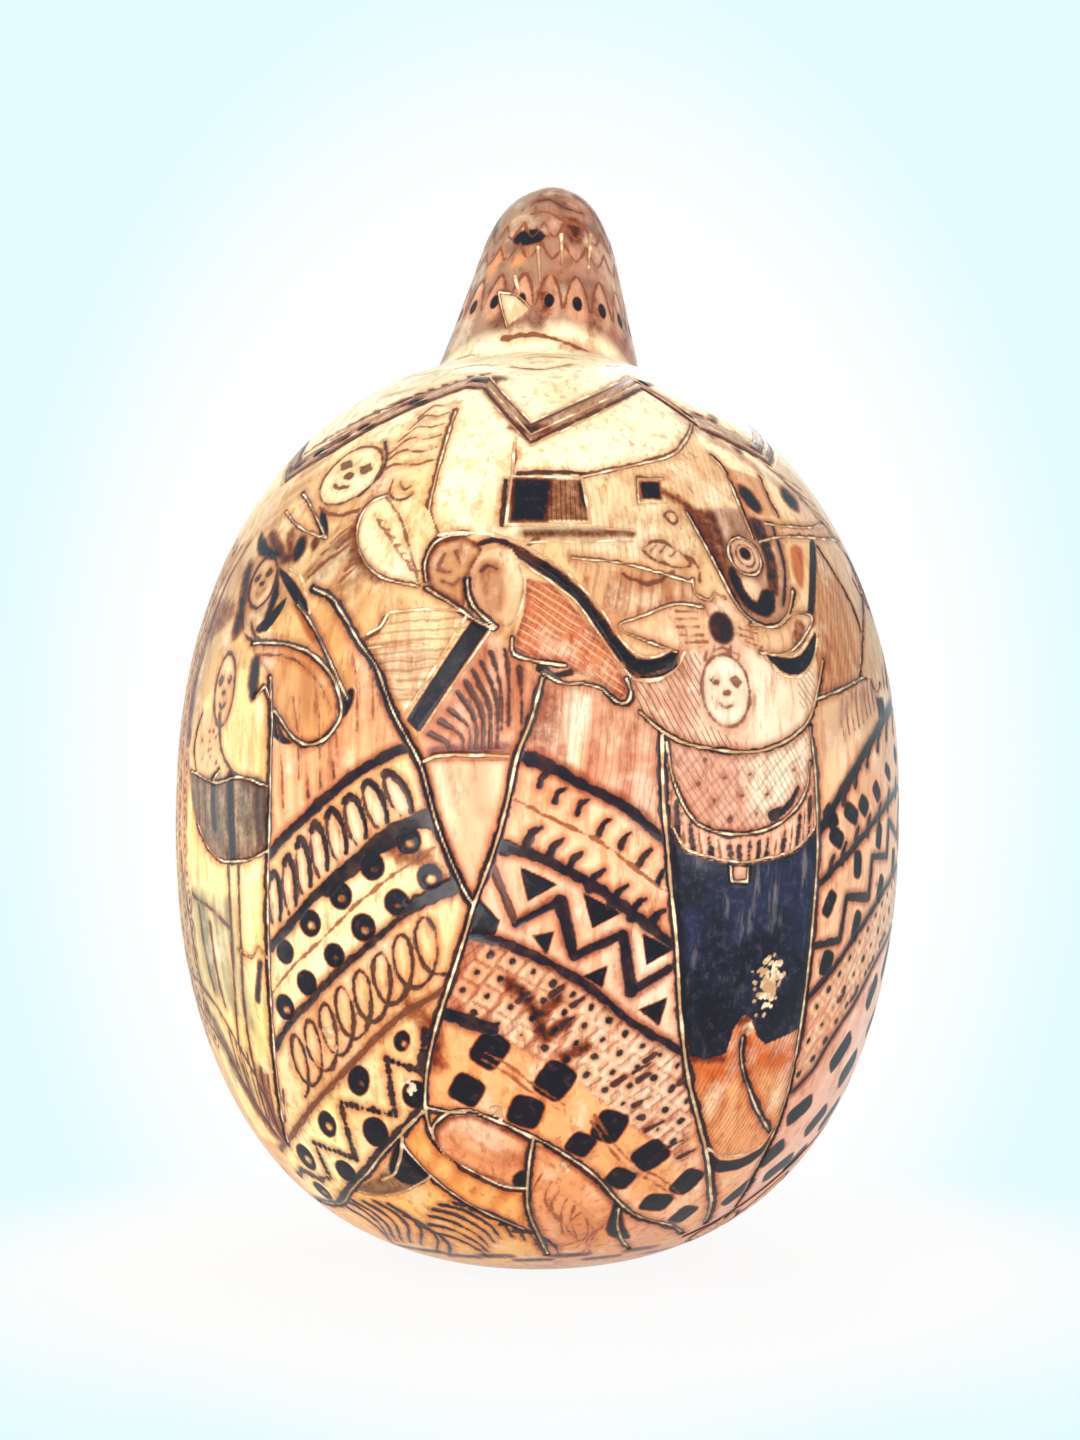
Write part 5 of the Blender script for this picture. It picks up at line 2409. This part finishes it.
def grid_faces(row_count, column_count):
    """The quads of a grid that closes on itself across."""
    index = np.arange(row_count * column_count).reshape(row_count, column_count)
    right = np.roll(index, -1, axis=1)
    quads = np.stack([index[:-1], right[:-1], right[1:], index[1:]], -1)
    return quads.reshape(-1, 4)


def build_skin():
    """The carved skin as one mesh with its layers as attributes."""
    points, foot_rows = skin_points()
    row_count, column_count = points.shape[:2]
    quads = grid_faces(row_count, column_count)
    ends = np.array([[0, 0, scar_depth], points[-1].mean(0)])
    vertices = np.concatenate([points.reshape(-1, 3), ends]) * MM
    first = np.arange(column_count)
    last = first + (row_count - 1) * column_count
    low_cap = np.stack([np.roll(first, -1), first, np.full(column_count, len(vertices) - 2)], -1)
    high_cap = np.stack([last, np.roll(last, -1), np.full(column_count, len(vertices) - 1)], -1)
    mesh = bpy.data.meshes.new("carved_skin")
    mesh.vertices.add(len(vertices))
    mesh.vertices.foreach_set("co", vertices.astype(np.float32).ravel())
    corners = np.concatenate([quads.ravel(), low_cap.ravel(), high_cap.ravel()])
    sides = np.concatenate([np.full(len(quads), 4), np.full(2 * column_count, 3)])
    mesh.loops.add(len(corners))
    mesh.loops.foreach_set("vertex_index", corners.astype(np.int32))
    mesh.polygons.add(len(sides))
    mesh.polygons.foreach_set(
        "loop_start", np.concatenate([[0], np.cumsum(sides)[:-1]]).astype(np.int32),
    )
    mesh.polygons.foreach_set("loop_total", sides.astype(np.int32))
    mesh.update(calc_edges=True)
    mesh.shade_smooth()
    unroll_map(mesh, row_count, column_count, len(quads))
    for name, values in layers_to_keep().items():
        keep_layer(mesh, name, values, foot_rows)
    made = bpy.data.objects.new("carved_skin", mesh)
    bpy.context.collection.objects.link(made)
    print("carved skin:", len(vertices), "points,", len(sides), "faces")
    return made


def unroll_map(mesh, row_count, column_count, quad_count):
    """Lays the skin flat in texture space: across by column and up by row."""
    row, column = np.divmod(np.arange(quad_count), column_count)
    left, right = column / column_count, (column + 1) / column_count
    low, high = row / row_count, (row + 1) / row_count
    spots = np.stack([left, low, right, low, right, high, left, high], -1).ravel()
    caps = np.zeros(2 * column_count * 3 * 2)
    flat = mesh.uv_layers.new(name="OFBake")
    flat.data.foreach_set("uv", np.concatenate([spots, caps]).astype(np.float32))


def layers_to_keep():
    """The layers that the material reads, by name."""
    return {
        "cut": cut,
        "ink": ink,
        "ink_black": ink_black,
        "burn": burn,
        "navy": navy,
        "hatch_phase": hatch_phase,
        "hatch_force": hatch_force,
        "cross_phase": cross_phase,
        "cross_force": cross_force,
        "stain": stain,
    }


def keep_layer(mesh, name, values, foot_rows):
    """Stores a layer on the mesh. The foot and the stem's hole repeat the nearest ring."""
    below = np.repeat(values[:1], foot_rows, 0)
    above = np.repeat(values[-1:], 2, 0)
    whole = np.concatenate([below, values, above])
    flat = whole.reshape(-1, *whole.shape[2:])
    flat = np.concatenate([flat, flat[:1], flat[-1:]]).astype(np.float32)
    if values.ndim == 3:
        attribute = mesh.attributes.new(name, "FLOAT_VECTOR", "POINT")
        attribute.data.foreach_set("vector", flat.ravel())
    else:
        attribute = mesh.attributes.new(name, "FLOAT", "POINT")
        attribute.data.foreach_set("value", flat.ravel())


skin = build_skin()
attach(skin, "gourd")
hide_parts("rind")

# %% [markdown]
# ## The carved and varnished rind
#
# The material stacks the carver's steps. The stain is broken up by the rind's own mottling. Fine
# hatching is a saw-tooth of the stored phase, so it stays sharp at any distance. Fire turns the
# stain brown and then blue-black, with ragged edges from noise. Burnt lines and burin lines come
# from their distances. A thin coat of varnish lies over everything.


# %% Material of the rind
def rind_material():
    """Stain, hatching, soot, burnt lines and burin lines, under a thin varnish."""
    material, tree = new_material("carved_rind")

    def stored(name, output=2):
        return add_node(tree, "ShaderNodeAttribute", {"attribute_name": name}, {}, output)

    place = add_node(tree, "ShaderNodeTexCoord", {}, {}, "Object")
    upright = add_node(tree, "ShaderNodeMapping", {}, {"Vector": place, "Scale": (1, 1, 0.16)})
    leaning = add_node(
        tree, "ShaderNodeMapping", {},
        {"Vector": place, "Rotation": (0, -0.6, 0), "Scale": (1, 1, 0.22)},
    )

    def noise(size_mm, detail=3.0, rough=0.55, where=place):
        inputs = {
            "Vector": where, "Scale": 1 / (size_mm * MM), "Detail": detail, "Roughness": rough,
        }
        return add_node(tree, "ShaderNodeTexNoise", {}, inputs)

    broad = noise(10.0)
    patches = noise(6.0, 4.0, 0.6)
    middling = noise(2.0)
    fine = noise(0.6, 2.0)
    speck = noise(1.0, 4.0, 0.7)
    grain = noise(1.3, 4.0, 0.6, upright)
    flecks = noise(1.1, 4.0, 0.7, leaning)

    colour = stored("stain", output=1)
    colour = mix(patches.step(0.50, 0.68) * 0.42, colour, rgb(254, 238, 208))
    colour = tinted(colour, broad.step(0.50, 0.68) * 0.45, rgb(230, 186, 142))
    colour = tinted(colour, grain.step(0.50, 0.66) * 0.5, rgb(212, 168, 128))
    colour = tinted(colour, speck.step(0.58, 0.76) * 0.35, rgb(196, 146, 112))
    colour = tinted(colour, flecks.step(0.55, 0.68) * 0.55, rgb(190, 140, 104))

    def scratches(name):
        """Fine unsteady lines, broken here and there: how dark and how pale they are."""
        phase = stored(name + "_phase") + (middling - 0.5) * 0.6 + (broad - 0.5) * 1.4
        near = 1 - (phase.fract() - 0.5).absolute().step(0.06, 0.21)
        nearer = 1 - ((phase * 2.3).fract() - 0.5).absolute().step(0.05, 0.22)
        lines = (near * middling.step(0.28, 0.5) + nearer * speck.step(0.4, 0.6) * 0.6).clamped()
        force = stored(name + "_force")
        return (lines * force).clamped(), (lines * force * -1.0).clamped()

    for name in ("hatch", "cross"):
        dark, pale = scratches(name)
        colour = mix(dark, colour, rgb(112, 58, 34))
        colour = mix(pale, colour, rgb(246, 202, 158))

    charred = stored("burn")
    fire = charred + ((speck - 0.5) * 0.5 + (middling - 0.5) * 0.3) * (charred * 3).clamped()
    colour = tinted(colour, fire.step(0.05, 0.5), rgb(160, 100, 66))
    blue_soot = (patches.step(0.36, 0.66) * 0.5 + speck.step(0.45, 0.68) * 0.5) * stored("navy")
    soot = mix(blue_soot, rgb(14, 11, 22), rgb(40, 48, 84))
    soot = mix(
        grain.step(0.52, 0.68) * patches.step(0.4, 0.6) * stored("navy") * 0.7, soot,
        rgb(120, 112, 108),
    )
    soot = mix(speck.step(0.52, 0.72) * 0.4, soot, rgb(84, 58, 60))
    colour = mix(fire.step(0.42, 0.70), colour, soot)

    edge = stored("ink") + (fine - 0.5) * 0.32 + (middling - 0.5) * 0.75
    blackness = (stored("ink_black") * 1.1 + (speck - 0.5) * 0.5).clamped()
    halo = (1 - edge.step(-0.1, 0.95)) * (blackness * 0.5 + 0.2)
    colour = tinted(colour, halo, rgb(196, 118, 72))
    ink_colour = mix(blackness, rgb(150, 78, 40), rgb(17, 13, 26))
    ink_mask = 1 - edge.step(-0.13, 0.12)
    colour = mix(ink_mask * (0.96 + (middling - 0.5) * 0.3).clamped(), colour, ink_colour)

    cut_mask = 1 - (stored("cut") + (fine - 0.5) * 0.08 + (middling - 0.5) * 0.14).step(-0.06, 0.05)
    cut_colour = mix(middling.step(0.36, 0.54), rgb(252, 230, 194), rgb(200, 156, 114))
    colour = mix(cut_mask * 0.95, colour, cut_colour)

    depth = cut_mask * -0.16 + ink_mask * -0.06 + fire.step(0.4, 0.9) * speck * 0.06
    depth = depth + fine * 0.012 + patches * 0.06
    normal = add_node(
        tree, "ShaderNodeBump", {}, {"Strength": 0.7, "Distance": MM, "Height": depth},
    )
    rough = 0.26 + cut_mask * 0.30 + fire.step(0.4, 0.9) * 0.10 + speck * 0.10
    inputs = {
        "Base Color": colour,
        "Roughness": rough,
        "Normal": normal,
        "Specular IOR Level": 0.16,
        "Coat Weight": 0.11,
        "Coat Roughness": 0.08,
        "Coat IOR": 1.5,
    }
    finish_material(tree, add_node(tree, "ShaderNodeBsdfPrincipled", {}, inputs))
    return material


skin.data.materials.append(rind_material())
print("nodes in the rind's material:", len(skin.data.materials[0].node_tree.nodes))


# %% [markdown]
# ## Pieces inside and the stem
#
# The stem's stub is dry wood, and the pulp and seeds are sealed inside. They keep their CAD
# shapes and get their own dry finishes, so that they look right if the gourd is ever opened.


# %% Dry finishes
def dry_material(name, light, dark, grain_mm, rough, stretch=(1, 1, 1)):
    """A matte plant material, mottled between two tones."""
    material, tree = new_material(name)
    place = add_node(tree, "ShaderNodeTexCoord", {}, {}, "Object")
    drawn_out = add_node(tree, "ShaderNodeMapping", {}, {"Vector": place, "Scale": stretch})
    grain = add_node(
        tree, "ShaderNodeTexNoise", {},
        {"Vector": drawn_out, "Scale": 1 / (grain_mm * MM), "Detail": 5.0},
    )
    pores = add_node(
        tree, "ShaderNodeTexNoise", {},
        {"Vector": place, "Scale": 5 / (grain_mm * MM), "Detail": 2.0},
    )
    colour = mix(grain.step(0.35, 0.68), light, dark)
    colour = tinted(colour, pores.step(0.55, 0.75) * 0.6, rgb(190, 160, 130))
    normal = add_node(
        tree, "ShaderNodeBump", {},
        {"Strength": 0.7, "Distance": MM, "Height": grain * 0.25 + pores * 0.08},
    )
    inputs = {"Base Color": colour, "Roughness": rough + grain * 0.15, "Normal": normal}
    finish_material(tree, add_node(tree, "ShaderNodeBsdfPrincipled", {}, inputs))
    return material


def dress(node, material):
    """Gives a CAD node this material in every slot."""
    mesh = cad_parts[node].data
    mesh.materials.clear()
    mesh.materials.append(material)


stem_wood = dry_material("stem_wood", rgb(150, 112, 74), rgb(82, 56, 36), 1.2, 0.7, (1, 1, 0.2))
dry_pulp = dry_material("dry_pulp", rgb(232, 214, 176), rgb(196, 164, 116), 2.4, 0.8)
seed_coat = dry_material("seed_coat", rgb(206, 170, 120), rgb(150, 110, 70), 3.0, 0.5)
dress("stem_stub", stem_wood)
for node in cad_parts:
    if "pith" in node:
        dress(node, dry_pulp)
    if "seed" in node:
        dress(node, seed_coat)
print("dressed CAD nodes:", len([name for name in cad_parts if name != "rind"]))
